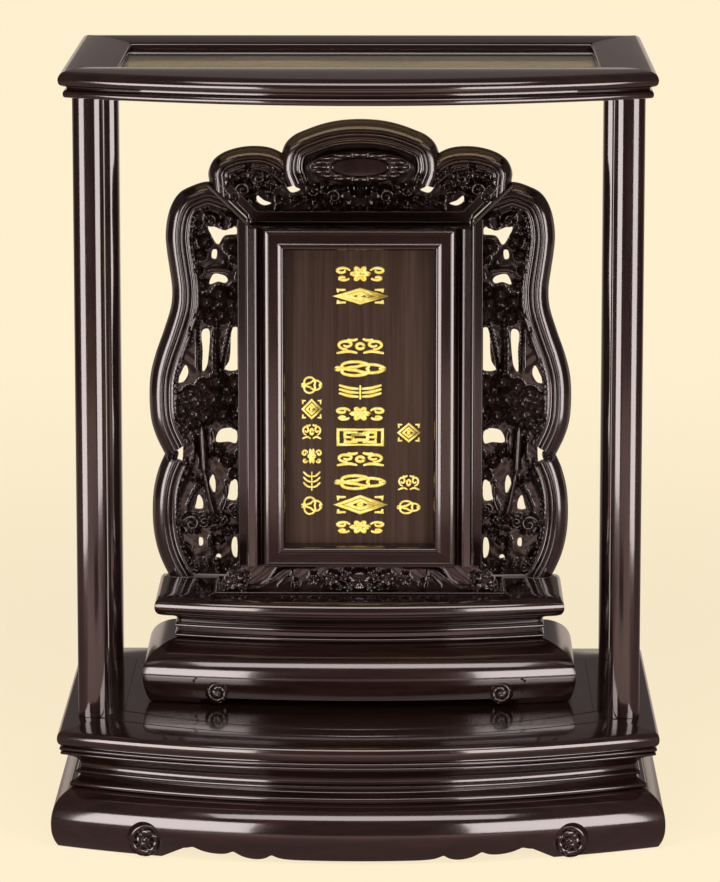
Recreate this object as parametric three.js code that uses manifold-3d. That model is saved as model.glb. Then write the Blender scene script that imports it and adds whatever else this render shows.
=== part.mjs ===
// Ancestor shrine: a carved tablet on its own stand, inside an open, bow-fronted case of four posts
// with a glazed top. Millimetres, +Z up, the front faces -Y, the origin is under the middle of the
// footprint, on the surface that the shrine stands on.
import * as THREE from 'three';
import { mergeVertices } from 'three/addons/utils/BufferGeometryUtils.js';
import Module from 'manifold-3d';

const wasm = await Module();
wasm.setup();

// Clearance between two pieces that meet
const joint = 0.3;

// Driving dimensions of the case
const caseHeight = 620;
const caseHalfWidth = 236;
const caseHalfDepth = 148;
const caseBow = 54;
const skirtHeight = 46;
const waistHeight = 28;
const floorRailHeight = 20;
const topRailHeight = 21;
const topInset = 5;
const skirtWall = 24;
const footSpan = 52;
const sideArchRise = 12;
const footCurlRadius = 13;
const footCurlReach = 6;
const curlLift = 1.5;
const sideRail = 46;
const frontRail = 70;
const backRail = 43;
const panelThickness = 8;
const panelLip = 6;
const grooveWidth = 2;
const grooveDepth = 1.2;
const grooveInsets = [37, 59];
const postWidth = 24.5;
const postDepth = 25;
const postInset = 10;
const postSetBack = 43;
const rearPostSetBack = 45;
const tenonSide = 11;
const tenonLength = 9;
const glassThickness = 3;
const glassDepth = 8;
const glassLap = 6;

// Driving dimensions of the stand
const standGap = 26;
const standFront = 39.5;
const standBack = 58;
const standBow = 22;
const standSkirtHeight = 49;
const standWaistHeight = 20;
const standPlateHeight = 16;
const standWall = 22;
const standFootSpan = 40;
const standArchRise = 6;
const standCurlRadius = 9;

// Driving dimensions of the tablet
const headroom = 38.4;
const wingReach = 74;
const boardThickness = 14;
const boardFace = 34;
const sillReach = 28;
const sillFront = 29;
const sillHeight = 6;
const friezeHeight = 16;
const friezeThickness = 9;
const friezeInset = 2;
const frameFront = 33;
const pilasterWidth = 12.5;
const frameWidth = 16.5;
const frameDepth = 20;
const frameRise = 4;
const plaqueThickness = 6;
const plaqueLap = 5;
const boxWall = 9;
const coverThickness = 5;
const coverLap = 4;
const slipCount = 4;
const slipWidth = 70;
const slipHeadroom = 62;
const slipThickness = 2.4;
const slipPitch = 4;
const slipStart = 11.7;
const crestRise = 84;
const medallionThickness = 4;

// What follows from them
const floorHalfWidth = caseHalfWidth - sideRail;
const floorFront = caseHalfDepth - frontRail;
const floorBack = caseHalfDepth - backRail;
const lightHalfWidth = floorHalfWidth;
const lightFront = floorFront + 10;
const lightBack = floorBack - 3;
const standHalfWidth = floorHalfWidth - standGap;
const frameHalfWidth = standHalfWidth - wingReach;
const sillHalfWidth = frameHalfWidth + sillReach;
const floorTop = skirtHeight + waistHeight + floorRailHeight;
const topUnderside = caseHeight - topRailHeight;
const postBottom = floorTop + joint;
const postTop = topUnderside - joint;
const standFloor = floorTop + joint;
const standPlateTop = standFloor + standSkirtHeight + standWaistHeight + standPlateHeight;
const tabletFoot = standPlateTop + joint;
const frameFoot = tabletFoot + sillHeight + friezeHeight + 2 * joint;
const crestTop = topUnderside - headroom;
const crestFoot = crestTop - crestRise;
const frameTop = crestFoot - joint;
const mouldingTop = frameTop + frameRise;
const slipHeight = frameTop - frameFoot - 2 * boxWall - slipHeadroom;
const boardBack = boardFace + boardThickness;
const boxBack = boardBack + 2 * joint + coverThickness + coverLap;
const arcSteps = 24;
const overrun = 60;
const shortest = 0.005;

const casePlan = {
  halfWidth: caseHalfWidth, front: caseHalfDepth, back: caseHalfDepth, bow: caseBow,
};
const standPlan = {
  halfWidth: standHalfWidth, front: standFront, back: standBack, bow: standBow,
};

const finishes = {
  wood: { color: 0x2a1512, roughness: 0.25, metalness: 0 },
  innerWood: { color: 0x5a3a2a, roughness: 0.6, metalness: 0 },
  plaque: { color: 0x33261f, roughness: 0.35, metalness: 0 },
  glass: { color: 0xbfd0b8, roughness: 0.05, metalness: 0 },
};

const shrine = new THREE.Group();

function addPart(name, solid, finish = finishes.wood) {
  const mesh = new THREE.Mesh(toGeometry(solid), new THREE.MeshStandardMaterial(finish));
  mesh.name = name;
  shrine.add(mesh);
}

// Solids and booleans
function toSolid(geometry) {
  const bare = geometry.clone();
  bare.deleteAttribute('normal');
  bare.deleteAttribute('uv');
  const merged = mergeVertices(bare, 1e-4);
  return new wasm.Manifold(new wasm.Mesh({
    numProp: 3,
    vertProperties: new Float32Array(merged.attributes.position.array),
    triVerts: new Uint32Array(merged.index.array),
  }));
}

function toGeometry(solid) {
  const mesh = solid.simplify(shortest).getMesh();
  const geometry = new THREE.BufferGeometry();
  geometry.setAttribute('position', new THREE.BufferAttribute(mesh.vertProperties, 3));
  geometry.setIndex(new THREE.BufferAttribute(mesh.triVerts, 1));
  return geometry;
}

// A box between two corners
function block(low, high) {
  const size = high.map((value, axis) => value - low[axis]);
  const geometry = new THREE.BoxGeometry(...size);
  geometry.translate(...low.map((value, axis) => value + size[axis] / 2));
  return toSolid(geometry);
}

// An outline in X and Z, given a thickness from nearY backwards to farY
function standingBoard(shape, nearY, farY) {
  const depth = farY - nearY;
  const geometry = new THREE.ExtrudeGeometry(shape, { depth, bevelEnabled: false });
  geometry.rotateX(Math.PI / 2);
  geometry.translate(0, farY, 0);
  return toSolid(geometry);
}

// An outline in X and Y, given a height from low to high
function upright(shape, low, high) {
  const depth = high - low;
  const geometry = new THREE.ExtrudeGeometry(shape, { depth, bevelEnabled: false, curveSegments: 3 });
  geometry.translate(0, 0, low);
  return toSolid(geometry);
}

function polygon(points) {
  return new THREE.Shape(points.map(([x, y]) => new THREE.Vector2(x, y)));
}

// A smooth line through the points, closed or open
function smooth(points, closed, perSpan = 3) {
  const stops = points.map(([x, y]) => new THREE.Vector3(x, y, 0));
  const curve = new THREE.CatmullRomCurve3(stops, closed, 'centripetal');
  const spans = closed ? stops.length : stops.length - 1;
  const along = curve.getPoints(spans * perSpan).map(({ x, y }) => [x, y]);
  return closed ? along.slice(0, -1) : along;
}

function mirrored(solid) {
  return solid.mirror([1, 0, 0]);
}

// A plan outline with a bowed front, moved outwards all round by offset
function planOutline(plan, offset) {
  const halfWidth = plan.halfWidth + offset;
  const points = [];
  for (let step = 0; step <= arcSteps; step += 1) {
    const along = -1 + (2 * step) / arcSteps;
    const y = -(plan.front + offset) - plan.bow * (1 - along * along);
    points.push([along * halfWidth, y]);
  }
  points.push([halfWidth, plan.back + offset], [-halfWidth, plan.back + offset]);
  return points;
}

// A moulded body: the plan outline at each [offset, share of the height] of the profile
function moulded(plan, low, high, profile = [[0, 0], [0, 1]]) {
  const rings = profile.map(([offset, share]) => {
    const z = low + share * (high - low);
    return planOutline(plan, offset).map(([x, y]) => [x, y, z]);
  });
  const count = rings[0].length;
  const index = [];
  for (let ring = 0; ring < rings.length - 1; ring += 1) {
    for (let side = 0; side < count; side += 1) {
      const a = ring * count + side;
      const b = ring * count + ((side + 1) % count);
      index.push(a, b, b + count, a, b + count, a + count);
    }
  }
  const top = (rings.length - 1) * count;
  const outline = rings[0].map(([x, y]) => new THREE.Vector2(x, y));
  for (const [a, b, c] of THREE.ShapeUtils.triangulateShape(outline, [])) {
    index.push(c, b, a, top + a, top + b, top + c);
  }
  const geometry = new THREE.BufferGeometry();
  geometry.setAttribute('position', new THREE.Float32BufferAttribute(rings.flat(2), 3));
  geometry.setIndex(index);
  return toSolid(geometry);
}

function inset(plan, amount) {
  return { ...plan, halfWidth: plan.halfWidth - amount, front: plan.front - amount, back: plan.back - amount };
}

// The thin cut of a mitre, from inside the inner corner out through the outer one and past it
function mitreCut(inner, outer, low, high) {
  const [sideX, sideY] = outer.map(Math.sign);
  const halfCut = joint / 2 / Math.SQRT2;
  const start = inner.map((value, axis) => value + (value - outer[axis]) * 0.2);
  const end = [outer[0] + sideX * overrun, outer[1] + sideY * overrun];
  const line = [start, outer, end];
  const oneSide = line.map(([x, y]) => [x + halfCut * sideX, y - halfCut * sideY]);
  const otherSide = line.map(([x, y]) => [x - halfCut * sideX, y + halfCut * sideY]);
  return upright(polygon([...oneSide, ...otherSide.reverse()]), low - 1, high + 1);
}

// Cuts a ring at its four corners and adds its four rails, named by the side they are on
function addRails(prefix, ring, inner, outer, low, high) {
  let cut = ring;
  for (const side of [-1, 1]) {
    const frontInner = [side * inner.halfWidth, -inner.front];
    const frontOuter = [side * outer.halfWidth, -outer.front];
    const backInner = [side * inner.halfWidth, inner.back];
    const backOuter = [side * outer.halfWidth, outer.back];
    cut = cut.subtract(mitreCut(frontInner, frontOuter, low, high));
    cut = cut.subtract(mitreCut(backInner, backOuter, low, high));
  }
  const rails = cut.decompose().map((solid) => {
    const { min, max } = solid.boundingBox();
    return { solid, x: (min[0] + max[0]) / 2, y: (min[1] + max[1]) / 2 };
  });
  const byX = [...rails].sort((a, b) => a.x - b.x);
  const byY = [...rails].sort((a, b) => a.y - b.y);
  addPart(`${prefix}_front`, byY[0].solid);
  addPart(`${prefix}_back`, byY[byY.length - 1].solid);
  addPart(`${prefix}_left`, byX[0].solid);
  addPart(`${prefix}_right`, byX[byX.length - 1].solid);
}

// Where each post stands, and the tenon at both of its ends
const postOuter = caseHalfWidth - postInset;
const frontPostLow = -(caseHalfDepth - postSetBack);
const rearPostLow = caseHalfDepth - rearPostSetBack;
const posts = [
  { name: 'post_front_left', side: -1, low: frontPostLow },
  { name: 'post_front_right', side: 1, low: frontPostLow },
  { name: 'post_rear_left', side: -1, low: rearPostLow },
  { name: 'post_rear_right', side: 1, low: rearPostLow },
];

function tenon(post, end, grow) {
  const x = post.side * (postOuter - postWidth / 2);
  const y = post.low + postDepth / 2;
  const half = tenonSide / 2 + grow;
  const reach = tenonLength + grow;
  const root = 1;
  const [low, high] = end === 'foot'
    ? [postBottom - reach, postBottom + root]
    : [postTop - root, postTop + reach];
  return block([x - half, y - half, low], [x + half, y + half, high]);
}

// The section of a post: two reeds with a hollow between them on its face, and eased corners
function postSection() {
  const ease = 3;
  const reedOuter = 4;
  const reedWidth = 6.4;
  const hollow = 1.6;
  const section = new THREE.Shape();
  section.moveTo(0, ease);
  section.quadraticCurveTo(0, hollow, ease, hollow);
  section.lineTo(reedOuter, hollow);
  section.quadraticCurveTo(reedOuter + reedWidth / 2, -hollow, reedOuter + reedWidth, hollow);
  section.lineTo(postWidth - reedOuter - reedWidth, hollow);
  section.quadraticCurveTo(postWidth - reedOuter - reedWidth / 2, -hollow, postWidth - reedOuter, hollow);
  section.lineTo(postWidth - ease, hollow);
  section.quadraticCurveTo(postWidth, hollow, postWidth, ease);
  section.lineTo(postWidth, postDepth - ease);
  section.quadraticCurveTo(postWidth, postDepth, postWidth - ease, postDepth);
  section.lineTo(ease, postDepth);
  section.quadraticCurveTo(0, postDepth, 0, postDepth - ease);
  return section;
}

function buildPosts() {
  const section = postSection();
  for (const post of posts) {
    const left = post.side < 0 ? -postOuter : postOuter - postWidth;
    const shaft = upright(section, postBottom, postTop).translate([left, post.low, 0]);
    addPart(post.name, shaft.add(tenon(post, 'foot', 0)).add(tenon(post, 'head', 0)));
  }
}

function withoutTenons(solid, end) {
  return posts.reduce((left, post) => left.subtract(tenon(post, end, joint)), solid);
}

// The open space under the scalloped front edge, between the two front feet
function apronSpace(plan) {
  const unit = (plan.halfWidth - footSpan - 30) / 154;
  const half = [
    [154, -5], [154, 18], [143, 9], [134, 9], [126, 11.5], [114, 6.5], [105, 6.5], [95, 9.5], [83, 3.5],
    [73, 3.5], [64, 7.5], [57, 3.5], [48, 4],
  ].map(([x, z]) => [x * unit, z]);
  const mirror = [...half].reverse().map(([x, z]) => [-x, z]);
  return standingBoard(polygon([...half, ...mirror]), -plan.front - plan.bow - 30, -plan.front / 2);
}

// The low arch between two feet of a straight side
function arch(halfSpan, low, rise, near, far) {
  const shoulder = Math.min(16, halfSpan / 3);
  const shape = polygon([
    [-halfSpan, low - 5], [halfSpan, low - 5], [halfSpan, low + rise / 2],
    [halfSpan - shoulder, low + rise], [-halfSpan + shoulder, low + rise], [-halfSpan, low + rise / 2],
  ]);
  return standingBoard(shape, near, far);
}

// A scroll, lying along Y, at the foot of a bowed skirt
function curl(plan, low, side, radius, reach, length, away, grow) {
  const x = side * (plan.halfWidth - away - radius);
  const share = x / plan.halfWidth;
  const near = -plan.front - plan.bow * (1 - share * share) - reach;
  const geometry = new THREE.CylinderGeometry(radius + grow, radius + grow, length + grow, 20);
  return toSolid(geometry).translate([x, near + (length + grow) / 2, low + radius + curlLift]);
}

function footCurl(side, grow) {
  return curl(casePlan, 0, side, footCurlRadius, 9 + footCurlReach, 26, footSpan + 3, grow);
}

function buildSkirt() {
  const profile = [
    [4, 0], [8.5, 0.28], [9, 0.59], [7.5, 0.74], [4, 0.85], [-2, 0.94], [-7, 1],
  ];
  const hollow = inset(casePlan, skirtWall);
  let ring = moulded(casePlan, 0, skirtHeight, profile).subtract(moulded(hollow, -1, skirtHeight + 1));
  ring = ring.subtract(apronSpace(casePlan));
  const far = caseHalfWidth + overrun;
  const sideArch = arch(caseHalfDepth - footSpan, 0, sideArchRise, -far, far);
  ring = ring.subtract(sideArch.rotate([0, 0, 90]));
  ring = ring.subtract(arch(caseHalfWidth - footSpan, 0, sideArchRise, 0, far));
  for (const side of [-1, 1]) ring = ring.subtract(footCurl(side, joint));
  addRails('skirt', ring, hollow, casePlan, 0, skirtHeight);
  addPart('foot_curl_left', footCurl(-1, 0));
  addPart('foot_curl_right', footCurl(1, 0));
}

// The waist: a bead at the foot and a cove that runs out under the floor rail
function buildWaist() {
  const low = skirtHeight + joint;
  const high = skirtHeight + waistHeight;
  const hollow = inset(casePlan, skirtWall + 6);
  const profile = [
    [-7, 0], [-6, 0.08], [-6, 0.16], [-9, 0.21], [-12.5, 0.28], [-13, 0.42], [-13, 0.64], [-10, 0.78],
    [-4, 0.91], [-1, 1],
  ];
  const ring = moulded(casePlan, low, high, profile).subtract(moulded(hollow, low - 1, high + 1));
  addRails('waist', ring, hollow, casePlan, low, high);
}

// The floor frame, with two bowed lines in its wide front rail and a panel let into it
function buildFloor() {
  const low = floorTop - floorRailHeight + joint;
  const profile = [
    [-1, 0], [1.5, 0.08], [1.5, 0.22], [-1, 0.3], [-1, 0.36], [2, 0.46], [3.8, 0.64], [3.8, 0.8],
    [2, 0.94], [0, 1],
  ];
  const lip = {
    halfWidth: floorHalfWidth - panelLip, front: floorFront - panelLip, back: floorBack - panelLip,
  };
  const seat = floorTop - panelThickness - joint;
  const over = floorTop + 1;
  let ring = moulded(casePlan, low, floorTop, profile);
  ring = ring.subtract(block([-lip.halfWidth, -lip.front, low - 1], [lip.halfWidth, lip.back, over]));
  ring = ring.subtract(block([-floorHalfWidth, -floorFront, seat], [floorHalfWidth, floorBack, over]));
  for (const amount of grooveInsets) {
    const outer = moulded(inset(casePlan, amount), floorTop - grooveDepth, over);
    const inner = moulded(inset(casePlan, amount + grooveWidth), floorTop - grooveDepth - 1, over + 1);
    const front = block([-postOuter, -overrun * 5, low], [postOuter, -floorFront - grooveWidth, over + 1]);
    ring = ring.subtract(outer.subtract(inner).intersect(front));
  }
  ring = withoutTenons(ring, 'foot');
  addRails('floor_rail', ring, lip, casePlan, low, floorTop);
  addPart('floor_panel', block(
    [-floorHalfWidth + joint, -floorFront + joint, floorTop - panelThickness],
    [floorHalfWidth - joint, floorBack - joint, floorTop],
  ));
}

// The top frame, its glass and the four beads that hold the glass from below
function buildTop() {
  const plan = inset(casePlan, topInset);
  const profile = [
    [-4, 0], [-1.5, 0.07], [-0.8, 0.19], [-1.5, 0.29], [-3.8, 0.36], [-3.5, 0.44], [0, 0.48], [2, 0.57],
    [2.8, 0.74], [2, 0.88], [0, 0.975], [-3, 1],
  ];
  const glassTop = caseHeight - glassDepth;
  const rebate = {
    halfWidth: lightHalfWidth + glassLap, front: lightFront + glassLap, back: lightBack + glassLap,
  };
  let ring = moulded(plan, topUnderside, caseHeight, profile);
  ring = ring.subtract(block(
    [-lightHalfWidth, -lightFront, topUnderside - 1], [lightHalfWidth, lightBack, caseHeight + 1],
  ));
  ring = ring.subtract(block(
    [-rebate.halfWidth, -rebate.front, topUnderside - 1],
    [rebate.halfWidth, rebate.back, glassTop + joint],
  ));
  ring = withoutTenons(ring, 'head');
  addRails('top_rail', ring, rebate, plan, topUnderside, caseHeight);
  const halfWidth = rebate.halfWidth - joint;
  const front = -rebate.front + joint;
  const back = rebate.back - joint;
  const glassFoot = glassTop - glassThickness;
  addPart('top_glass', block([-halfWidth, front, glassFoot], [halfWidth, back, glassTop]), finishes.glass);
  const low = topUnderside + 1;
  const high = glassFoot - joint;
  const beadWidth = glassLap - joint;
  const sideLow = front + beadWidth + joint;
  const sideHigh = back - beadWidth - joint;
  addPart('glass_bead_front', block([-halfWidth, front, low], [halfWidth, front + beadWidth, high]));
  addPart('glass_bead_back', block([-halfWidth, back - beadWidth, low], [halfWidth, back, high]));
  const rightBead = block([halfWidth - beadWidth, sideLow, low], [halfWidth, sideHigh, high]);
  addPart('glass_bead_right', rightBead);
  addPart('glass_bead_left', mirrored(rightBead));
}

// The stand that carries the tablet: swelling skirt, waist and moulded plate
function standCurl(side, grow) {
  return curl(standPlan, standFloor, side, standCurlRadius, 16, 18, standFootSpan, grow);
}

function buildStand() {
  const low = standFloor;
  const skirtTop = low + standSkirtHeight;
  const waistTop = skirtTop + standWaistHeight;
  const hollow = inset(standPlan, standWall);
  const skirt = [
    [7, 0], [10, 0.15], [12.5, 0.35], [12.5, 0.55], [9, 0.74], [1, 0.89], [-8, 0.96], [-15, 1],
  ];
  let ring = moulded(standPlan, low, skirtTop - joint, skirt).subtract(moulded(hollow, low - 1, skirtTop + 1));
  const halfSpan = standHalfWidth - standFootSpan;
  ring = ring.subtract(arch(halfSpan, low, standArchRise, -overrun * 3, overrun * 3));
  for (const side of [-1, 1]) ring = ring.subtract(standCurl(side, joint));
  addRails('stand_skirt', ring, hollow, standPlan, low, skirtTop);
  addPart('stand_curl_left', standCurl(-1, 0));
  addPart('stand_curl_right', standCurl(1, 0));
  const waist = [
    [-15, 0], [-12.5, 0.13], [-15, 0.26], [-16, 0.46], [-13, 0.59], [-15, 0.72], [-12, 0.87], [-8, 1],
  ];
  const core = inset(hollow, 8);
  const waistRing = moulded(standPlan, skirtTop, waistTop - joint, waist);
  addPart('stand_waist', waistRing.subtract(moulded(core, skirtTop - 1, waistTop + 1)));
  const plate = [
    [-4, 0], [0, 0.13], [3, 0.42], [3, 0.62], [1, 0.85], [-3, 1],
  ];
  addPart('stand_plate', moulded(standPlan, waistTop, standPlateTop, plate));
}

// A point of a side board, given across from the frame and up as a share of the board's height
function wingPoint([across, up]) {
  return [frameHalfWidth + across * (wingReach / 74), tabletFoot + up * (crestFoot - tabletFoot) / 297];
}

// The mitre between a side board and the crest runs from the inner corner to the outer one
const mitreInner = [frameHalfWidth, crestFoot];
const mitreOuter = [frameHalfWidth + 34 * (wingReach / 74), crestFoot + 33];

function onMitre(x, drop) {
  const slope = (mitreOuter[1] - mitreInner[1]) / (mitreOuter[0] - mitreInner[0]);
  return [x, mitreInner[1] + slope * (x - mitreInner[0]) - drop];
}

// The pierced side boards: a serpentine outer edge, a straight inner one and the mitre at the top
function buildWings() {
  const shoulder = [[49, 325], [59, 319], [67, 307], [70, 286], [67, 258], [65, 236], [71, 208], [81, 181],
    [84, 152], [81, 124], [72, 103]];
  const hip = [[72, 103], [78, 86], [82, 59], [80, 28], [72, 4], [68, 0]];
  const inner = frameHalfWidth + joint;
  const drop = joint * 1.4;
  const outline = [
    [inner, tabletFoot],
    ...smooth(hip.map(wingPoint).reverse(), false),
    ...smooth(shoulder.map(wingPoint).reverse(), false).slice(1),
    onMitre(mitreOuter[0], drop),
    onMitre(inner, drop),
  ];
  let wing = standingBoard(polygon(outline), boardFace, boardBack);
  const openings = [
    [[11, 292], [22, 289], [32, 292], [35, 289], [28, 277], [19, 286]],
    [[28, 273], [32, 273], [31, 265], [28, 265]],
    [[19, 251], [30, 254], [35, 245], [24, 246]],
    [[35, 207], [40, 206], [40, 172], [36, 178]],
    [[11, 209], [14, 203], [22, 173], [12, 173]],
    [[52, 177], [54, 171], [62, 162], [57, 170]],
    [[13, 123], [26, 122], [29, 112], [13, 111]],
    [[31, 86], [34, 79], [30, 69], [29, 76]],
    [[41, 67], [47, 57], [41, 56]],
    [[13, 82], [17, 79], [20, 65], [13, 63]],
    [[41, 33], [44, 31], [42, 25]],
    [[13, 32], [17, 25], [13, 14]],
  ];
  for (const opening of openings) {
    const shape = polygon(smooth(opening.map(wingPoint), true, 2));
    wing = wing.subtract(standingBoard(shape, boardFace - 5, boardBack + 5));
  }
  addPart('wing_right', wing);
  addPart('wing_left', mirrored(wing));
}

// The crest: a tall middle lobe between two lower ones, mitred to the side boards
function buildCrest() {
  const reach = mitreOuter[0] / 124;
  const up = ([x, z]) => [x * reach, crestFoot + z * (crestRise / 84)];
  const lower = [[124, 36], [125, 42], [120, 50], [109, 57], [95, 61], [80, 61], [66, 58]].map(up);
  const upper = [[66, 58], [60, 66], [45, 74], [22, 82], [0, 84]].map(up);
  const right = [mitreInner, mitreOuter, ...smooth(lower, false), ...smooth(upper, false).slice(1)];
  const left = [...right].slice(0, -1).reverse().map(([x, z]) => [-x, z]);
  let crest = standingBoard(polygon([...right, ...left]), boardFace, boardBack);
  const openings = [
    [[49, 26], [58, 36], [61, 27], [56, 24]],
    [[73, 15], [84, 22], [84, 14]],
  ];
  for (const opening of openings) {
    const cut = standingBoard(polygon(smooth(opening.map(up), true, 2)), boardFace - 5, boardBack + 5);
    crest = crest.subtract(cut).subtract(mirrored(cut));
  }
  addPart('crest_board', crest);
  const oval = new THREE.Shape();
  oval.absellipse(0, crestFoot + 46, 41 * reach, 12, 0, 2 * Math.PI);
  addPart('crest_medallion', standingBoard(oval, boardFace - joint - medallionThickness, boardFace - joint));
}

// The sill under the frame, the frieze board in front and the block that carries the box
function buildBase() {
  const sillTop = tabletFoot + sillHeight;
  addPart('sill_board', block(
    [-sillHalfWidth, -sillFront, tabletFoot], [sillHalfWidth, boardFace - joint, sillTop],
  ));
  const low = sillTop + joint;
  const front = -sillFront + friezeInset;
  const shape = polygon([
    [-sillHalfWidth + 4, low], [sillHalfWidth - 4, low], [sillHalfWidth - 16, low + friezeHeight * 0.6],
    [frameHalfWidth, low + friezeHeight], [-frameHalfWidth, low + friezeHeight],
    [-sillHalfWidth + 16, low + friezeHeight * 0.6],
  ]);
  addPart('frieze_board', standingBoard(shape, front, front + friezeThickness));
  const top = frameFoot - joint;
  const blockFront = front + friezeThickness + joint;
  const onSill = block([-frameHalfWidth, blockFront, low], [frameHalfWidth, boxBack, top]);
  const onPlate = block([-frameHalfWidth, boardFace, tabletFoot], [frameHalfWidth, boxBack, top]);
  addPart('tablet_base', onSill.add(onPlate));
}

// One side of the moulding round the plaque: a section along one edge of a rectangle, mitred at both ends
function frameSide(side) {
  const seat = frameWidth - plaqueLap;
  const section = [
    [0, 0], [seat, 0], [seat, 4], [frameWidth, 4], [frameWidth, 10], [13.5, 11], [seat, 9], [6.5, 14],
    [4.5, frameDepth], [0.5, frameDepth], [0, 18],
  ];
  const corners = [[-1, -1], [1, -1], [1, 1], [-1, 1]];
  const back = -frameFront + frameDepth;
  const middle = (frameFoot + mouldingTop) / 2;
  const at = (corner) => section.map(([inwards, forwards]) => new THREE.Vector3(
    corners[corner][0] * (frameHalfWidth - pilasterWidth - inwards),
    back - forwards,
    middle + corners[corner][1] * ((mouldingTop - frameFoot) / 2 - inwards),
  ));
  const starts = at(side);
  const ends = at((side + 1) % 4);
  const isUpright = side % 2 === 1;
  starts.forEach((start, row) => {
    const pull = ends[row].clone().sub(start).setLength(isUpright ? joint / 2 : joint);
    start.add(pull);
    ends[row].sub(pull);
  });
  const rows = section.length;
  const index = [];
  for (let row = 0; row < rows; row += 1) {
    const after = (row + 1) % rows;
    index.push(row, after, rows + after, row, rows + after, rows + row);
  }
  const contour = section.map(([x, y]) => new THREE.Vector2(x, y));
  for (const [a, b, c] of THREE.ShapeUtils.triangulateShape(contour, [])) {
    index.push(c, b, a, rows + a, rows + b, rows + c);
  }
  const geometry = new THREE.BufferGeometry().setFromPoints([...starts, ...ends]);
  geometry.setIndex(index);
  return toSolid(geometry);
}

// The upright strip outside the moulding, with a soft bead on its outer edge
function pilaster() {
  const back = -frameFront + frameDepth;
  const section = [[0, 0], [pilasterWidth, 0], [pilasterWidth, 16], [11, 12.5], [6, 12.5], [4, 15], [2, 15], [0, 13]];
  const shape = polygon(section.map(([inwards, forwards]) => [frameHalfWidth - inwards, back - forwards]));
  return upright(shape, frameFoot, mouldingTop);
}

function buildFrame() {
  addPart('frame_bottom', frameSide(0));
  addPart('frame_right', frameSide(1).add(pilaster()));
  addPart('frame_top', frameSide(2));
  addPart('frame_left', frameSide(3).add(mirrored(pilaster())));
  const edge = frameWidth - plaqueLap + joint;
  const front = -frameFront + frameDepth - 4 + joint;
  const plaqueHalfWidth = frameHalfWidth - pilasterWidth - edge;
  addPart('plaque_board', block(
    [-plaqueHalfWidth, front, frameFoot + edge],
    [plaqueHalfWidth, front + plaqueThickness, mouldingTop - edge],
  ), finishes.plaque);
}

// The box behind the frame that keeps the name slips, closed by a cover that slides up at the back
function buildBox() {
  const front = -frameFront + frameDepth + joint;
  const plaqueBack = -frameFront + frameDepth - 4 + joint + plaqueThickness;
  const plaqueEdge = frameWidth - plaqueLap;
  const inside = frameHalfWidth - boxWall;
  const seat = frameFoot + boxWall;
  const slotFar = boardBack + 2 * joint + coverThickness;
  const grooveFloor = inside + coverLap;
  const wall = block([inside, front, frameFoot], [frameHalfWidth, boxBack, frameTop]);
  const groove = block([inside - 1, boardBack, seat], [grooveFloor, slotFar, frameTop + 1]);
  const rightWall = wall.subtract(groove);
  addPart('box_side_right', rightWall);
  addPart('box_side_left', mirrored(rightWall));
  const halfSpan = inside - joint;
  const lid = block([-halfSpan, front, frameTop - boxWall], [halfSpan, boardBack, frameTop]);
  const plaqueHalfWidth = frameHalfWidth - pilasterWidth - plaqueEdge;
  const plaqueSeat = block(
    [-plaqueHalfWidth, front - 1, frameTop - boxWall - 1],
    [plaqueHalfWidth, plaqueBack + joint, mouldingTop - plaqueEdge],
  );
  addPart('box_top', lid.subtract(plaqueSeat));
  addPart('box_bottom', block([-halfSpan, front, frameFoot], [halfSpan, boxBack, seat]));
  addPart('rear_cover', block(
    [-grooveFloor + joint, boardBack + joint, seat + joint],
    [grooveFloor - joint, slotFar - joint, frameTop],
  ));
  for (let slip = 0; slip < slipCount; slip += 1) {
    const near = plaqueBack + slipStart + slip * slipPitch;
    addPart(`name_slip_${slip + 1}`, block(
      [-slipWidth / 2, near, seat + joint],
      [slipWidth / 2, near + slipThickness, seat + joint + slipHeight],
    ), finishes.innerWood);
  }
}

buildSkirt();
buildWaist();
buildFloor();
buildPosts();
buildTop();
buildStand();
buildWings();
buildCrest();
buildBase();
buildFrame();
buildBox();

// The bow moves the middle of the footprint forwards
shrine.position.y = caseBow / 2;

export default shrine;
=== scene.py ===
"""Looks of an ancestor shrine: a carved tablet on its stand inside an open, bow-fronted case."""

import logging
import math
from collections.abc import Callable, Sequence
from dataclasses import dataclass, replace
from enum import Enum

import bmesh
import bpy
import numpy as np
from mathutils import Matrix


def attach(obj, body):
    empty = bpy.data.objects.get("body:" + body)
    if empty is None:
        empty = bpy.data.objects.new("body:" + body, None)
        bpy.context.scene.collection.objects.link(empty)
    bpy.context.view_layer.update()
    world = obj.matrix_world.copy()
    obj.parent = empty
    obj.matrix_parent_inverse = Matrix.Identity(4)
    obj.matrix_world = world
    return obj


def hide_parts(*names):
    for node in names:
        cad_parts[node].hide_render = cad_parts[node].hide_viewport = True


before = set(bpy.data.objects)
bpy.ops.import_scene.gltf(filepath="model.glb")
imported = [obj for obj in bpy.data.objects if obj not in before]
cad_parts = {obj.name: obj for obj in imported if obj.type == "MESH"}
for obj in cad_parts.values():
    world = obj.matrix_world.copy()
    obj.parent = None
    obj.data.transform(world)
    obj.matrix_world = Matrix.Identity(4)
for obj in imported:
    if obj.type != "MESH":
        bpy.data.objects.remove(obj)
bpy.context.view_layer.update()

log = logging.getLogger("shrine")
Number = float | int
Settings = dict[str, object]
Colour = tuple[float, float, float]
Array = np.ndarray

MM = 0.001
# Sizes are in millimetres about an origin that lies this far, in metres, from the frame's
FRAME_OFFSET = np.array((0.0, 0.027, 0.0))
# How far neighbouring pieces stand apart
JOINT = 0.3
# The length of the slope at each end of an arched lower edge
SHOULDER = 16.0


class Body(Enum):
    """The CAD bodies that new pieces move with."""

    CASE = "case"
    TABLET = "tablet"


class Side(Enum):
    """The four sides of a rail frame, as the CAD nodes name them."""

    FRONT = "front"
    BACK = "back"
    LEFT = "left"
    RIGHT = "right"


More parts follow.
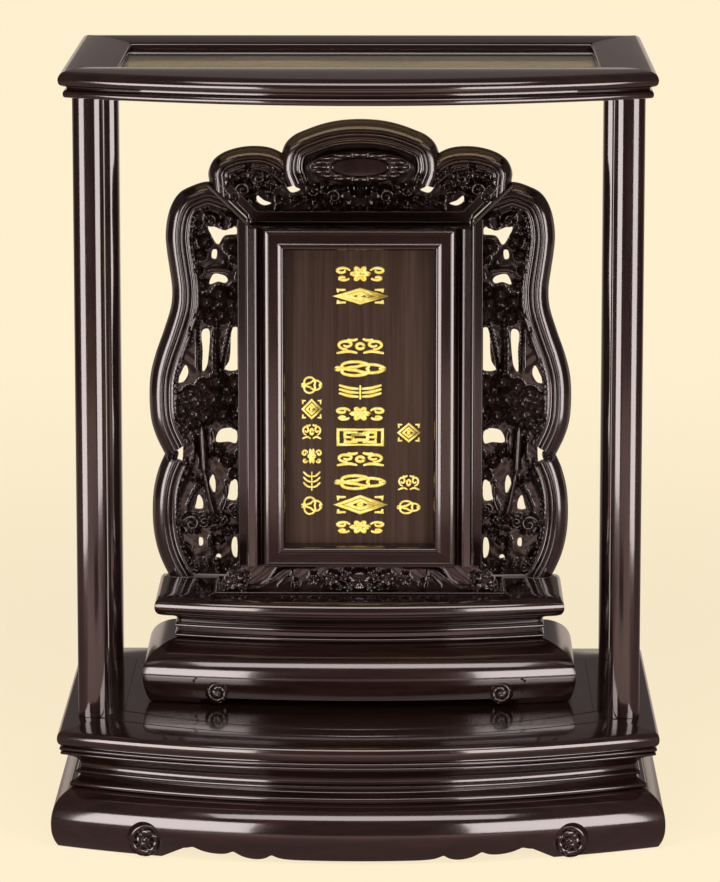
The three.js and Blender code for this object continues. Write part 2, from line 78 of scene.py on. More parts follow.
# Shader maths


class Value:
    """A number socket of a material, with Python's arithmetic on it."""

    def __init__(self, shader: "Shader", socket: bpy.types.NodeSocket) -> None:
        """Keeps the output socket, and the shader that new nodes are added to."""
        self.shader = shader
        self.socket = socket

    def _with(self, kind: str, *others: "Value | Number", flipped: bool = False) -> "Value":
        """Adds one Math node; flipped makes this value its second operand."""
        operands = [*others, self] if flipped else [self, *others]
        return self.shader.value("ShaderNodeMath", {"operation": kind}, *operands)

    def __add__(self, other: "Value | Number") -> "Value":
        """Sum."""
        return self._with("ADD", other)

    __radd__ = __add__

    def __sub__(self, other: "Value | Number") -> "Value":
        """Difference."""
        return self._with("SUBTRACT", other)

    def __rsub__(self, other: Number) -> "Value":
        """Difference, this value taken away."""
        return self._with("SUBTRACT", other, flipped=True)

    def __mul__(self, other: "Value | Number") -> "Value":
        """Product."""
        return self._with("MULTIPLY", other)

    __rmul__ = __mul__

    def size(self) -> "Value":
        """The value without its sign."""
        return self._with("ABSOLUTE")

    def rise(self, low: Number, high: Number) -> "Value":
        """Runs smoothly from 0 at low to 1 at high."""
        settings: Settings = {"interpolation_type": "SMOOTHSTEP", "clamp": True}
        return self.shader.value("ShaderNodeMapRange", settings, self, low, high, 0.0, 1.0)


class Shader:
    """One material's node tree, built through a handful of methods."""

    def __init__(self, tree: bpy.types.NodeTree) -> None:
        """Empties the tree and starts again."""
        self.tree = tree
        tree.nodes.clear()

    def node(self, kind: str, settings: Settings | None = None, **inputs: object) -> bpy.types.Node:
        """Adds a node.

        Args:
            kind: The node's type.
            settings: Its own settings.
            inputs: Values or links by socket name, with _ for a blank.

        Returns:
            The node.
        """
        made = self.tree.nodes.new(kind)
        for name, value in (settings or {}).items():
            setattr(made, name, value)
        for name, value in inputs.items():
            self.feed(made.inputs[name.replace("_", " ")], value)
        return made

    def feed(self, socket: bpy.types.NodeSocket, value: object) -> None:
        """Links a value to a socket, or sets its number.

        Args:
            socket: The socket to feed.
            value: A Value, a node's socket, a number or a colour.
        """
        if isinstance(value, Value):
            self.tree.links.new(value.socket, socket)
        elif isinstance(value, bpy.types.NodeSocket):
            self.tree.links.new(value, socket)
        elif isinstance(value, tuple) and socket.type == "RGBA" and len(value) == 3:
            socket.default_value = (*value, 1.0)
        else:
            socket.default_value = value

    def value(self, kind: str, settings: Settings, *inputs: "Value | Number") -> Value:
        """Adds a node with inputs in order, and reads its first output as a number.

        Args:
            kind: The node's type.
            settings: Its settings.
            inputs: Its inputs, from the first.

        Returns:
            Its first output.
        """
        made = self.node(kind, settings)
        for socket, given in zip(made.inputs, inputs):
            self.feed(socket, given)
        return Value(self, made.outputs[0])

    def place(self, scale: Colour = (1.0, 1.0, 1.0)) -> bpy.types.NodeSocket:
        """Object coordinates in metres, scaled along each axis."""
        source = self.node("ShaderNodeTexCoord").outputs["Object"]
        return self.node("ShaderNodeMapping", Vector=source, Scale=scale).outputs["Vector"]

    def noise(
        self, vector: bpy.types.NodeSocket, scale: float, detail: float = 3.0, rough: float = 0.5
    ) -> Value:
        """Fractal noise from 0 to 1: detail is its octaves, rough the strength of the small ones."""
        made = self.node("ShaderNodeTexNoise", Vector=vector, Scale=scale, Detail=detail, Roughness=rough)
        return Value(self, made.outputs[0])

    def blend(
        self, share: Value | Number, first: object, second: object, how: str = "MIX"
    ) -> bpy.types.NodeSocket:
        """Mixes two colours.

        Args:
            share: How much of the second.
            first: The first colour.
            second: The second colour.
            how: The way in which they mix.

        Returns:
            The mixed colour.
        """
        made = self.node("ShaderNodeMix", {"data_type": "RGBA", "blend_type": how})
        self.feed(made.inputs[0], share)
        self.feed(made.inputs[6], first)
        self.feed(made.inputs[7], second)
        return made.outputs[2]

    def bump(self, height: Value, strength: float, distance: float) -> bpy.types.NodeSocket:
        """A bump: strength is the share that shows, distance what a height of 1 measures, in metres."""
        made = self.node("ShaderNodeBump", Strength=strength, Distance=distance, Height=height)
        return made.outputs["Normal"]

    def surface(self, **inputs: object) -> None:
        """Ends the tree in a Principled shader with these inputs."""
        shader = self.node("ShaderNodeBsdfPrincipled", None, **inputs)
        self.node("ShaderNodeOutputMaterial", Surface=shader.outputs["BSDF"])


# Finishes


@dataclass(frozen=True)
class Finish:
    """A finish, made into a material when it is first put on a piece."""

    name: str
    slot: str = "lacquered_wood"

    def draw(self, shader: Shader) -> None:
        """Draws the finish's nodes in the shader that is given."""
        raise NotImplementedError

    def material(self) -> bpy.types.Material:
        """The finish's material, made once.

        Returns:
            The material.
        """
        found = bpy.data.materials.get(self.name)
        if found is None:
            found = bpy.data.materials.new(self.name)
            found.use_nodes = True
            self.draw(Shader(found.node_tree))
        return found

    def put_on(self, piece: bpy.types.Object) -> None:
        """Gives a piece this finish alone."""
        piece.data.materials.clear()
        piece.data.materials.append(self.material())


@dataclass(frozen=True)
class Lacquer(Finish):
    """Near-black wood under polished clear lacquer, its grain running along one axis."""

    along: Colour = (1.0, 14.0, 14.0)
    deep: Colour = (0.0065, 0.0026, 0.0021)
    warm: Colour = (0.017, 0.0066, 0.0053)
    gloss: float = 0.075
    peel: float = 0.05

    def draw(self, shader: Shader) -> None:
        """Long streaks of warm brown in near-black wood, under a lacquer with a fine waviness.

        Args:
            shader: The shader that its nodes are added to.
        """
        streaks = shader.noise(shader.place(self.along), 9.0, 5.0, 0.62)
        fine = shader.noise(shader.place(tuple(4 * share for share in self.along)), 22.0, 3.0, 0.6)
        tone = (streaks * 0.75 + fine * 0.25).rise(0.36, 0.66)
        cloud = shader.noise(shader.place(), 26.0, 2.0)
        waviness = shader.noise(shader.place(), 330.0, 2.0)
        shader.surface(
            Base_Color=shader.blend(tone, self.deep, self.warm),
            Roughness=cloud * 0.05 + fine * 0.04 + self.gloss,
            Specular_IOR_Level=0.85,
            Specular_Tint=(1.0, 0.85, 0.82),
            Coat_Weight=0.35,
            Coat_IOR=1.5,
            Coat_Roughness=0.04,
            Normal=shader.bump(waviness * 0.7 + fine * 0.3, self.peel, 0.0002),
        )


@dataclass(frozen=True)
class PlaqueWood(Finish):
    """The plaque's board: brown-black with a fine upright grain, less glossy than the carving."""

    slot: str = "plaque_wood"

    def draw(self, shader: Shader) -> None:
        """Fine upright streaks over slower bands.

        Args:
            shader: The shader that its nodes are added to.
        """
        fine = shader.noise(shader.place((70.0, 70.0, 1.3)), 4.0, 4.0, 0.7)
        bands = shader.noise(shader.place((14.0, 14.0, 0.5)), 3.0, 3.0)
        tone = (fine * 0.75 + bands * 0.25).rise(0.36, 0.64)
        shader.surface(
            Base_Color=shader.blend(tone, (0.033, 0.019, 0.013), (0.054, 0.033, 0.0245)),
            Roughness=fine * 0.1 + 0.26,
            Specular_IOR_Level=0.1,
            Specular_Tint=(1.0, 0.8, 0.7),
            Normal=shader.bump(fine, 0.1, 0.0002),
        )


@dataclass(frozen=True)
class BareWood(Finish):
    """Plain brown wood, oiled."""

    slot: str = "inner_wood"

    def draw(self, shader: Shader) -> None:
        """Upright grain in two browns.

        Args:
            shader: The shader that its nodes are added to.
        """
        grain = shader.noise(shader.place((60.0, 60.0, 3.0)), 5.0, 4.0, 0.6)
        shader.surface(
            Base_Color=shader.blend(grain.rise(0.35, 0.65), (0.07, 0.03, 0.016), (0.16, 0.08, 0.042)),
            Roughness=grain * 0.15 + 0.42,
            Normal=shader.bump(grain, 0.2, 0.0002),
        )


@dataclass(frozen=True)
class Gilding(Finish):
    """Gold leaf over a raised ground."""

    slot: str = "gilding"

    def draw(self, shader: Shader) -> None:
        """Bright gold that darkens a little where the leaf is thin.

        Args:
            shader: The shader that its nodes are added to.
        """
        thin = shader.noise(shader.place(), 240.0, 4.0, 0.6)
        shader.surface(
            Base_Color=shader.blend(thin.rise(0.35, 0.7), (0.83, 0.6, 0.09), (1.0, 0.84, 0.3)),
            Metallic=0.35,
            Roughness=thin * 0.16 + 0.36,
            Normal=shader.bump(thin, 0.2, 0.0002),
        )


@dataclass(frozen=True)
class Pane(Finish):
    """Sheet glass with an olive cast."""

    slot: str = "pane"

    def draw(self, shader: Shader) -> None:
        """Glass whose surface is slightly uneven.

        Args:
            shader: The shader that its nodes are added to.
        """
        wave = shader.noise(shader.place(), 7.0, 2.0)
        shader.surface(
            Base_Color=(0.4, 0.35, 0.25),
            Roughness=wave * 0.02,
            Transmission_Weight=1.0,
            IOR=1.5,
            Normal=shader.bump(wave, 0.03, 0.002),
        )


LACQUER = Lacquer("lacquer_along_the_width")
LACQUER_SIDES = Lacquer("lacquer_along_the_depth", along=(14.0, 1.0, 14.0))
LACQUER_UPRIGHT = Lacquer("lacquer_upright", along=(14.0, 14.0, 1.0))
LACQUER_CARVED = Lacquer("lacquer_on_carving", along=(14.0, 14.0, 3.0), gloss=0.1, peel=0.12)
PLAQUE_WOOD = PlaqueWood("plaque_board_wood")
BARE_WOOD = BareWood("bare_wood")
GILDING = Gilding("gold_leaf")
PANE = Pane("sheet_glass")


# Lines and meshes


def spline(points: Sequence[Sequence[float]], per: int = 6, closed: bool = False) -> Array:
    """A smooth line: cubic spans over the square root of the chord, with slopes from both neighbours.

    Args:
        points: What it passes through, in order.
        per: How many steps each span gets.
        closed: Whether it returns to its start.

    Returns:
        The line's points.
    """
    stops = np.asarray(points, float)
    if closed:
        stops = np.vstack([stops[-3:], stops, stops[:4]])
    chords = np.linalg.norm(np.diff(stops, axis=0), axis=1)
    knots = np.concatenate([[0.0], np.cumsum(np.sqrt(chords))])
    slopes = np.gradient(stops, knots, axis=0)
    spans = np.arange(3, len(stops) - 4) if closed else np.arange(len(stops) - 1)
    width = (knots[spans + 1] - knots[spans])[:, None, None]
    share = (np.arange(per) / per)[None, :, None]
    line = (
        (2 * share**3 - 3 * share**2 + 1) * stops[spans][:, None]
        + (share**3 - 2 * share**2 + share) * width * slopes[spans][:, None]
        + (3 * share**2 - 2 * share**3) * stops[spans + 1][:, None]
        + (share**3 - share**2) * width * slopes[spans + 1][:, None]
    ).reshape(-1, stops.shape[1])
    return line if closed else np.vstack([line, stops[-1:]])


def profile(*runs: Sequence[Sequence[float]], per: int = 5, foot: float = 0.0) -> Array:
    """Smooth runs that meet in corners; a run of two points is straight, and foot is added to the heights."""
    lines = [spline(run, per) if len(run) > 2 else np.asarray(run, float) for run in runs]
    return np.vstack(lines) + (0.0, foot)


def inside(x: Array, z: Array, outline: Array) -> Array:
    """Whether points lie in an outline: a ray to the right crosses it an odd number of times.

    Args:
        x: The points' first coordinates.
        z: Their second ones, in the same shape.
        outline: The outline's corners.

    Returns:
        A mask in the same shape.
    """
    crossed = np.zeros(x.shape, bool)
    for start, end in zip(outline, np.roll(outline, -1, axis=0)):
        if start[1] != end[1]:
            level = (start[1] > z) != (end[1] > z)
            meets = start[0] + (z - start[1]) * (end[0] - start[0]) / (end[1] - start[1])
            crossed ^= level & (x < meets)
    return crossed


def nearest(x: Array, z: Array, line: Array) -> tuple[Array, Array, Array, Array]:
    """The nearest point of a line to each point, from its distance to every straight piece of the line.

    Args:
        x: The points' first coordinates.
        z: Their second ones.
        line: The line's corners in order.

    Returns:
        The distance, how far along the line it is, and the nearest point's two coordinates.
    """
    best = np.full(x.shape, np.inf)
    along, near_x, near_z = np.zeros(x.shape), np.array(x, float), np.array(z, float)
    passed = 0.0
    for start, end in zip(line[:-1], line[1:]):
        step = end - start
        length = math.hypot(*step)
        if length < 1e-9:
            continue
        share = np.clip(((x - start[0]) * step[0] + (z - start[1]) * step[1]) / length**2, 0.0, 1.0)
        at_x, at_z = start[0] + share * step[0], start[1] + share * step[1]
        distance = np.hypot(x - at_x, z - at_z)
        closer = distance < best
        best = np.where(closer, distance, best)
        along = np.where(closer, passed + share * length, along)
        near_x, near_z = np.where(closer, at_x, near_x), np.where(closer, at_z, near_z)
        passed += length
    return best, along, near_x, near_z


class Form:
    """A mesh under construction, in the millimetres in which the photograph was measured."""

    def __init__(self) -> None:
        """Starts with no points and no faces."""
        self.points: list[Array] = []
        self.faces: list[list[int]] = []
        self.count = 0

    def keep(self, points: Array) -> Array:
        """Adds points.

        Args:
            points: An array of any shape whose last axis is X, Y and Z.

        Returns:
            The points' numbers, in the same shape.
        """
        flat = np.reshape(points, (-1, 3))
        numbers = self.count + np.arange(len(flat)).reshape(points.shape[:-1])
        self.points.append(flat)
        self.count += len(flat)
        return numbers

    def quads(self, a: Array, b: Array, c: Array, d: Array) -> None:
        """Adds the faces whose corners are the four arrays of point numbers."""
        self.faces.extend(np.stack([a.ravel(), b.ravel(), c.ravel(), d.ravel()], -1).tolist())

    def sheet(self, points: Array, wrap: bool = False, again: bool = False) -> Array:
        """A surface over a grid of points.

        Args:
            points: The grid, rows by columns.
            wrap: Whether the last column joins the first.
            again: Whether the last row joins the first.

        Returns:
            The grid's point numbers.
        """
        numbers = self.keep(points)
        grid = np.hstack([numbers, numbers[:, :1]]) if wrap else numbers
        grid = np.vstack([grid, grid[:1]]) if again else grid
        self.quads(grid[:-1, :-1], grid[:-1, 1:], grid[1:, 1:], grid[1:, :-1])
        return numbers

    def bar(self, rings: Array) -> None:
        """A solid bar: a closed loop of points at each station, with a face over both ends.

        Args:
            rings: The loops, stations by points.
        """
        numbers = self.sheet(rings, wrap=True)
        self.faces.append(numbers[0, ::-1].tolist())
        self.faces.append(numbers[-1].tolist())

    def mirror(self) -> "Form":
        """The same form on the other side of the middle plane.

        Returns:
            The mirrored form.
        """
        other = Form()
        other.points = [points * (-1.0, 1.0, 1.0) for points in self.points]
        other.faces, other.count = self.faces, self.count
        return other

    def piece(
        self, name: str, finish: Finish, body: Body, *stands_for: str, crease: float = 36.0
    ) -> None:
        """Makes the object, with its doubles merged, faces outwards and edges above the crease angle sharp.

        Args:
            name: The piece's name.
            finish: What it is finished in.
            body: The CAD body that it moves with.
            stands_for: The CAD nodes that it replaces.
            crease: The angle, in degrees, from which an edge shows.
        """
        mesh = bpy.data.meshes.new(name)
        mesh.from_pydata((np.vstack(self.points) * MM + FRAME_OFFSET).tolist(), [], self.faces)
        shell = bmesh.new()
        shell.from_mesh(mesh)
        bmesh.ops.remove_doubles(shell, verts=shell.verts, dist=2e-6)
        bmesh.ops.recalc_face_normals(shell, faces=shell.faces)
        shell.to_mesh(mesh)
        shell.free()
        mesh.shade_smooth()
        mesh.set_sharp_from_angle(angle=math.radians(crease))
        made = bpy.data.objects.new(name, mesh)
        bpy.context.scene.collection.objects.link(made)
        finish.put_on(made)
        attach(made, body.value)
        if stands_for:
            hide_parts(*stands_for)
        log.info("%s: %d faces", name, len(mesh.polygons))

    def pair(self, name: str, finish: Finish, body: Body, node: str, crease: float = 36.0) -> None:
        """Makes the right-hand piece, and its mirror image on the left.

        Args:
            name: The pieces' name, with * for the side.
            finish: What they are finished in.
            body: The CAD body that they move with.
            node: The CAD node that each replaces, with * for the side.
            crease: The angle, in degrees, from which an edge shows.
        """
        for side, form in (("right", self), ("left", self.mirror())):
            form.piece(name.replace("*", side), finish, body, node.replace("*", side), crease=crease)


# Moulded rails, and the case and the stand made of them


@dataclass(frozen=True)
class Plan:
    """An outline seen from above: straight sides and back, and a front that bows out as a parabola."""

    half_width: float
    front: float
    back: float
    bow: float = 0.0

    def grown(self, by: float) -> "Plan":
        """The outline moved outwards all round."""
        return replace(self, half_width=self.half_width + by, front=self.front + by, back=self.back + by)

    def half(self, side: Side) -> float:
        """Half the length of a side, leaving out the bow."""
        return self.half_width if side in (Side.FRONT, Side.BACK) else (self.front + self.back) / 2

    def place(self, side: Side, offset: Array | float, share: Array) -> tuple[Array, Array]:
        """Points along one side, moved outwards by an offset.

        Args:
            side: Which side.
            offset: How far outwards.
            share: Where along the side, from -1 to 1.

        Returns:
            Their X and Y.
        """
        half_width = self.half_width + offset
        if side is Side.FRONT:
            return share * half_width, -(self.front + offset) - self.bow * (1 - share**2)
        if side is Side.BACK:
            return -share * half_width, self.back + offset + 0 * share
        middle = (self.back - self.front) / 2
        reach = self.half(side) + offset
        sign = 1 if side is Side.RIGHT else -1
        return sign * half_width + 0 * share, middle + share * reach

    def mitre_share(self, offset: float, inner: "Plan") -> float:
        """Where a line inside the front crosses the mitre to the inner corner, as a share of its half length.

        Args:
            offset: The line's offset, below 0.
            inner: The rectangle whose corner the mitre runs to.

        Returns:
            The share, from the quadratic that the two lines' crossing gives.
        """
        slope = (self.front - inner.front) / (self.half_width - inner.half_width)
        half_width, front = self.half_width + offset, self.front + offset
        linear = slope * half_width
        constant = self.front - front - self.bow - slope * self.half_width
        return (-linear + math.sqrt(linear**2 - 4 * self.bow * constant)) / (2 * self.bow)


@dataclass
class Moulding:
    """Four mitred rails: a section of [offset, height] points carried along each side of a plan."""

    prefix: str
    body: Body
    plan: Plan
    outer: Array
    inner_plan: Plan
    inner: Array
    lines: Sequence[float] = ()
    line_width: float = 2.0
    line_depth: float = 1.2
    foot: Callable[[Side, Array], Array] | None = None
    stations: Callable[[Side], Array] | None = None
    mitre_gap: float = 0.1

    def _shares(self, side: Side) -> Array:
        """Where the stations are along a side.

        Args:
            side: Which side.

        Returns:
            Their places, from -1 to 1.
        """
        if self.stations is not None:
            return self.stations(side)
        return np.linspace(-1.0, 1.0, 129 if side is Side.FRONT else 9)

    def rail(self, side: Side) -> Form:
        """One rail: every point of the section runs along its own offset of the plan.

        Args:
            side: Which side.

        Returns:
            The rail.
        """
        share = self._shares(side)[:, None]
        pulled = share * (1 - self.mitre_gap / self.plan.half_width)
        levels = np.concatenate([self.outer[:, 1], self.inner[:, 1]])
        foot, top = levels.min(), levels.max()
        lifted = self.foot(side, share) if self.foot is not None else foot + 0 * share
        scale = (top - lifted) / (top - foot)
        outer_z = lifted + (self.outer[None, :, 1] - foot) * scale
        offset = np.broadcast_to(self.outer[None, :, 0], outer_z.shape)
        if self.foot is not None:
            offset = np.interp(outer_z, self.outer[:, 1], self.outer[:, 0])
        x, y = self.plan.place(side, offset, pulled)
        parts = [np.stack([x, y, outer_z], -1)]
        if side is Side.FRONT:
            for line in self.lines:
                half = self.line_width / 2
                rows = ((line + half, 0.0), (line, -self.line_depth), (line - half, 0.0))
                for at, sink in rows:
                    reach = self.plan.mitre_share(at, self.inner_plan)
                    x, y = self.plan.place(side, at, pulled * reach)
                    parts.append(np.stack([x, y, top + sink + 0 * x], -1))
        inner_z = lifted + (self.inner[None, :, 1] - foot) * scale
        x, y = self.inner_plan.place(side, self.inner[None, :, 0], pulled)
        parts.append(np.stack([x + 0 * inner_z, y + 0 * inner_z, inner_z], -1))
        form = Form()
        form.bar(np.hstack(parts))
        return form

    def build(self) -> None:
        """Makes the four rails, with the grain running along each of them."""
        for side in Side:
            finish = LACQUER if side in (Side.FRONT, Side.BACK) else LACQUER_SIDES
            name = f"{self.prefix}_{side.value}"
            self.rail(side).piece(f"{name}_moulded", finish, self.body, name)


# The small rectangle in the middle to which a solid plate's section runs
PLATE_CORE = Plan(1.0, 1.0, 1.0)


def moulded_block(outer: Array, plan: Plan, inner: Plan) -> Form:
    """A plate or ring in one piece: a section of [offset, height] points carried round a plan.

    Args:
        outer: The section from the foot up.
        plan: The outline.
        inner: The plan of the wall inside, or of the line that closes a plate.

    Returns:
        The solid.
    """
    form = Form()
    walls = np.array([(0.0, outer[-1, 1]), (0.0, outer[0, 1])])
    levels = np.concatenate([outer[:, 1], walls[:, 1]])
    parts = []
    for side in (Side.FRONT, Side.RIGHT, Side.BACK, Side.LEFT):
        count = 128 if side is Side.FRONT else 8
        share = np.linspace(-1.0, 1.0, count, endpoint=False)[:, None]
        share = -share if side is Side.LEFT else share
        x, y = plan.place(side, outer[None, :, 0], share)
        inner_x, inner_y = inner.place(side, walls[None, :, 0], share)
        z = np.broadcast_to(levels, (count, len(levels)))
        parts.append(np.stack([np.hstack([x, inner_x]), np.hstack([y, inner_y]), z], -1))
    form.sheet(np.vstack(parts), wrap=True, again=True)
    return form


def arch(into: Array, rise: float) -> Array:
    """An edge that jumps to half its rise where a foot ends, at 0, and slopes up to all of it."""
    return rise * np.where(into < -1e-6, 0.0, 0.5 + 0.5 * np.clip(into / SHOULDER, 0.0, 1.0))


def add_scroll(
    form: Form, x: float, z: float, face: float, radius: float, reach: float, floor: float, hand: int
) -> None:
    """A scroll that faces forwards: heights over a polar grid, with a spiral groove, an eye and a hood.

    The depth at radius r and angle t is the face, less a spiral groove whose phase is r over the pitch plus
    t over a full turn; past the scroll's radius a hood slopes back along a cosine to what it grows from.

    Args:
        form: The form to add it to.
        x: The scroll's middle.
        z: Its middle's height.
        face: The Y of its face.
        radius: Its radius.
        reach: How far it stands in front of what it grows from.
        floor: The lowest Z that it may reach.
        hand: 1 or -1, the way that it winds.
    """
    turn = np.linspace(0.0, 2 * np.pi, 96, endpoint=False)[None, :]
    inner = np.linspace(0.02, 1.0, 34)[:, None] * radius
    phase = inner / (radius * 0.42) + hand * turn / (2 * np.pi)
    ridge = np.abs(np.cos(np.pi * phase)) ** 0.55
    eye = np.clip(1 - inner / (radius * 0.32), 0.0, 1.0)
    leaves = 0.9 * np.abs(np.sin(3.5 * turn)) * np.exp(-(((inner / radius - 0.5) / 0.2) ** 2))
    sunk = 2.6 * (1 - ridge) * (1 - eye) - 1.2 * np.sqrt(eye) + leaves
    front = np.stack([x + inner * np.cos(turn), face + sunk, z + inner * np.sin(turn)], -1)
    slope = np.linspace(0.0, 1.0, 15)[1:, None]
    outwards = np.clip(0.55 + 0.6 * np.cos(turn - math.radians(65)), 0.0, 1.0)
    spread = radius * (1.02 + 0.42 * slope * outwards)
    away = reach * (0.5 - 0.5 * np.cos(np.pi * slope**0.8)) + 0.9 * np.sin(np.pi * np.clip(slope * 3, 0, 1))
    hood = np.stack([x + spread * np.cos(turn), face + away + 0 * turn, z + spread * np.sin(turn)], -1)
    last = hood[-1:] + (0.0, 6.0, 0.0)
    grid = np.vstack([front, hood, last])
    grid[..., 2] = np.maximum(grid[..., 2], floor)
    form.bar(grid)


@dataclass
class Case:
    """The case: curled skirt, waist, floor frame, posts and top frame."""

    plan: Plan = Plan(236.0, 148.0, 148.0, 54.0)
    top_plan: Plan = Plan(231.0, 143.0, 143.0, 54.0)
    floor_light: Plan = Plan(190.0, 78.0, 105.0)
    floor_lip: float = -6.0
    floor_lines: tuple[float, float] = (-37.0, -59.0)
    panel_seat: float = 8.3
    top_light: Plan = Plan(190.0, 88.0, 102.0)
    top_rebate: float = 6.0
    pane_seat: float = 7.7
    skirt_top: float = 46.0
    waist_top: float = 74.0
    floor_top: float = 94.0
    post_top: float = 598.7
    top_foot: float = 599.0
    height: float = 620.0
    wall: float = 24.0
    foot_inside: float = 154.0
    apron_rise: float = 18.0
    arch_rise: float = 12.0
    foot_span: float = 52.0
    post_width: float = 24.5
    post_depth: float = 25.0
    post_outer: float = 226.0
    post_fronts: tuple[float, float] = (-105.0, 103.0)
    curl_at: tuple[float, float] = (168.0, 14.5)
    curl_radius: float = 12.5
    curl_face: float = -189.5
    curl_reach: float = 15.5
    curl_floor: float = 0.4

    def build(self) -> None:
        """Builds it from the foot up."""
        self._skirt()
        self._curls()
        self._waist()
        self._floor()
        self._posts()
        self._top()

    def _apron(self, x: Array) -> Array:
        """The scalloped lower edge of the front: curved lobes that meet in cusps, between two cut ends.

        Args:
            x: Distances from the middle.

        Returns:
            The edge's height there.
        """
        lobes = profile(
            [(0, 3.2), (30, 3.3), (52, 3.7), (60, 4.8), (66, 7.4)],
            [(66, 7.4), (71, 4.4), (79, 3.1), (88, 5.0), (95, 9.3)],
            [(95, 9.3), (101, 7.0), (109, 6.5), (118, 8.0), (126, 11.4)],
            [(126, 11.4), (133, 9.9), (141, 11.0), (148, 14.4), (self.foot_inside, self.apron_rise)],
        )
        return np.interp(x, lobes[:, 0], lobes[:, 1])

    def _foot(self, side: Side, share: Array) -> Array:
        """The skirt's lower edge: the apron in front, and a low arch on each of the other sides.

        Args:
            side: Which side.
            share: Where along it, from -1 to 1.

        Returns:
            The edge's height there.
        """
        if side is Side.FRONT:
            x = np.abs(share) * self.plan.half_width
            return np.where(x <= self.foot_inside + 1e-6, self._apron(x), 0.0)
        half = self.plan.half(side)
        return arch(half - self.foot_span - np.abs(share) * half, self.arch_rise)

    def _skirt_stations(self, side: Side) -> Array:
        """Stations for the skirt, with two at each place where its lower edge jumps.

        Args:
            side: Which side.

        Returns:
            Their places along it, from -1 to 1.
        """
        half = self.plan.half(side)
        if side is Side.FRONT:
            jump = self.foot_inside
            inner = np.linspace(-jump, jump, 217)
        else:
            jump = half - self.foot_span
            slope = np.linspace(jump - SHOULDER, jump, 5)
            inner = np.concatenate([-slope[::-1], slope])
        beyond = np.linspace(jump + 1e-3, half, 25)
        return np.concatenate([-beyond[::-1], inner, beyond]) / half

    def _skirt(self) -> None:
        """The swelling skirt."""
        outer = profile(
            [(2.4, 0.0), (4.0, 0.9)],
            [(4.0, 0.9), (6.6, 6.0), (8.4, 12.0), (8.95, 18.0), (8.75, 24.0), (7.6, 30.0), (5.2, 35.6),
             (1.4, 40.4), (-3.0, 43.8), (-7.0, self.skirt_top)],
            per=6,
        )
        inner = np.array([(0.0, self.skirt_top), (0.0, 0.0)])
        ring = Moulding("skirt", Body.CASE, self.plan, outer, self.plan.grown(-self.wall), inner)
        ring.foot, ring.stations = self._foot, self._skirt_stations
        ring.build()

    def _curls(self) -> None:
        """The scrolls at the inner ends of the front feet."""
        x, z = self.curl_at
        form = Form()
        add_scroll(form, x, z, self.curl_face, self.curl_radius, self.curl_reach, self.curl_floor, -1)
        form.pair("foot_scroll_*", LACQUER, Body.CASE, "foot_curl_*", 60.0)

    def _waist(self) -> None:
        """The waist: a bead, a step, a thin bead and a cove."""
        foot, top = self.skirt_top + JOINT, self.waist_top
        outer = profile(
            [(-8.0, 0.0), (-6.4, 0.9), (-5.6, 2.6), (-6.2, 4.4), (-8.0, 5.2)],
            [(-9.0, 5.6), (-12.4, 7.4), (-13.6, 9.4)],
            [(-12.4, 9.8), (-11.0, 10.6), (-10.5, 12.0), (-11.2, 13.4), (-13.0, 14.0)],
            [(-14.0, 14.6), (-14.2, 17.5), (-12.6, 21.0), (-9.0, 24.0), (-4.6, 26.4), (-3.0, top - foot)],
            foot=foot,
        )
        inner = np.array([(0.0, top), (0.0, foot)])
        ring = Moulding("waist", Body.CASE, self.plan, outer, self.plan.grown(-self.wall - 6), inner)
        ring.build()

    def _floor(self) -> None:
        """The floor frame: two thin beads under a bullnose, and two bowed lines on its wide front rail."""
        foot, top = self.waist_top + JOINT, self.floor_top
        outer = profile(
            [(-2.0, 0.0), (0.6, 0.5), (1.3, 1.6), (0.8, 2.8), (-0.8, 3.3)],
            [(-0.8, 3.5), (1.2, 4.0), (2.0, 5.3), (1.4, 6.6), (-0.6, 7.2)],
            [(-0.8, 7.9), (1.8, 8.6), (3.4, 11.0), (3.8, 14.2), (3.1, 17.2), (1.4, 19.1), (-1.2, top - foot)],
            foot=foot,
        )
        seat = top - self.panel_seat
        inner = np.array([(0.0, top), (0.0, seat), (self.floor_lip, seat), (self.floor_lip, foot)])
        ring = Moulding("floor_rail", Body.CASE, self.plan, outer, self.floor_light, inner, self.floor_lines)
        ring.build()

    def _posts(self) -> None:
        """The posts: both broad faces swell from rounded corners to a flat middle."""
        half = spline([
            (0.0, 8.0), (0.15, 6.3), (0.8, 4.8), (1.9, 3.4), (3.2, 2.5), (4.2, 1.98), (5.4, 1.45),
            (6.6, 1.02), (7.8, 0.72), (9.0, 0.56), (10.4, 0.5), (11.9, 0.5),
        ], 4)
        face = np.vstack([half, (self.post_width, 0.0) + (half * (-1.0, 1.0))[::-1]])
        loop = np.vstack([face, (face * (1.0, -1.0) + (0.0, self.post_depth))[::-1]])
        levels = np.array([self.floor_top + JOINT, self.post_top])
        for low, depth in zip(self.post_fronts, ("front", "rear")):
            form = Form()
            across = np.broadcast_to(self.post_outer - self.post_width + loop[:, 0], (2, len(loop)))
            along = np.broadcast_to(low + loop[:, 1], (2, len(loop)))
            form.bar(np.stack([across, along, np.broadcast_to(levels[:, None], across.shape)], -1))
            form.pair(f"post_{depth}_*_swelled", LACQUER_UPRIGHT, Body.CASE, f"post_{depth}_*")

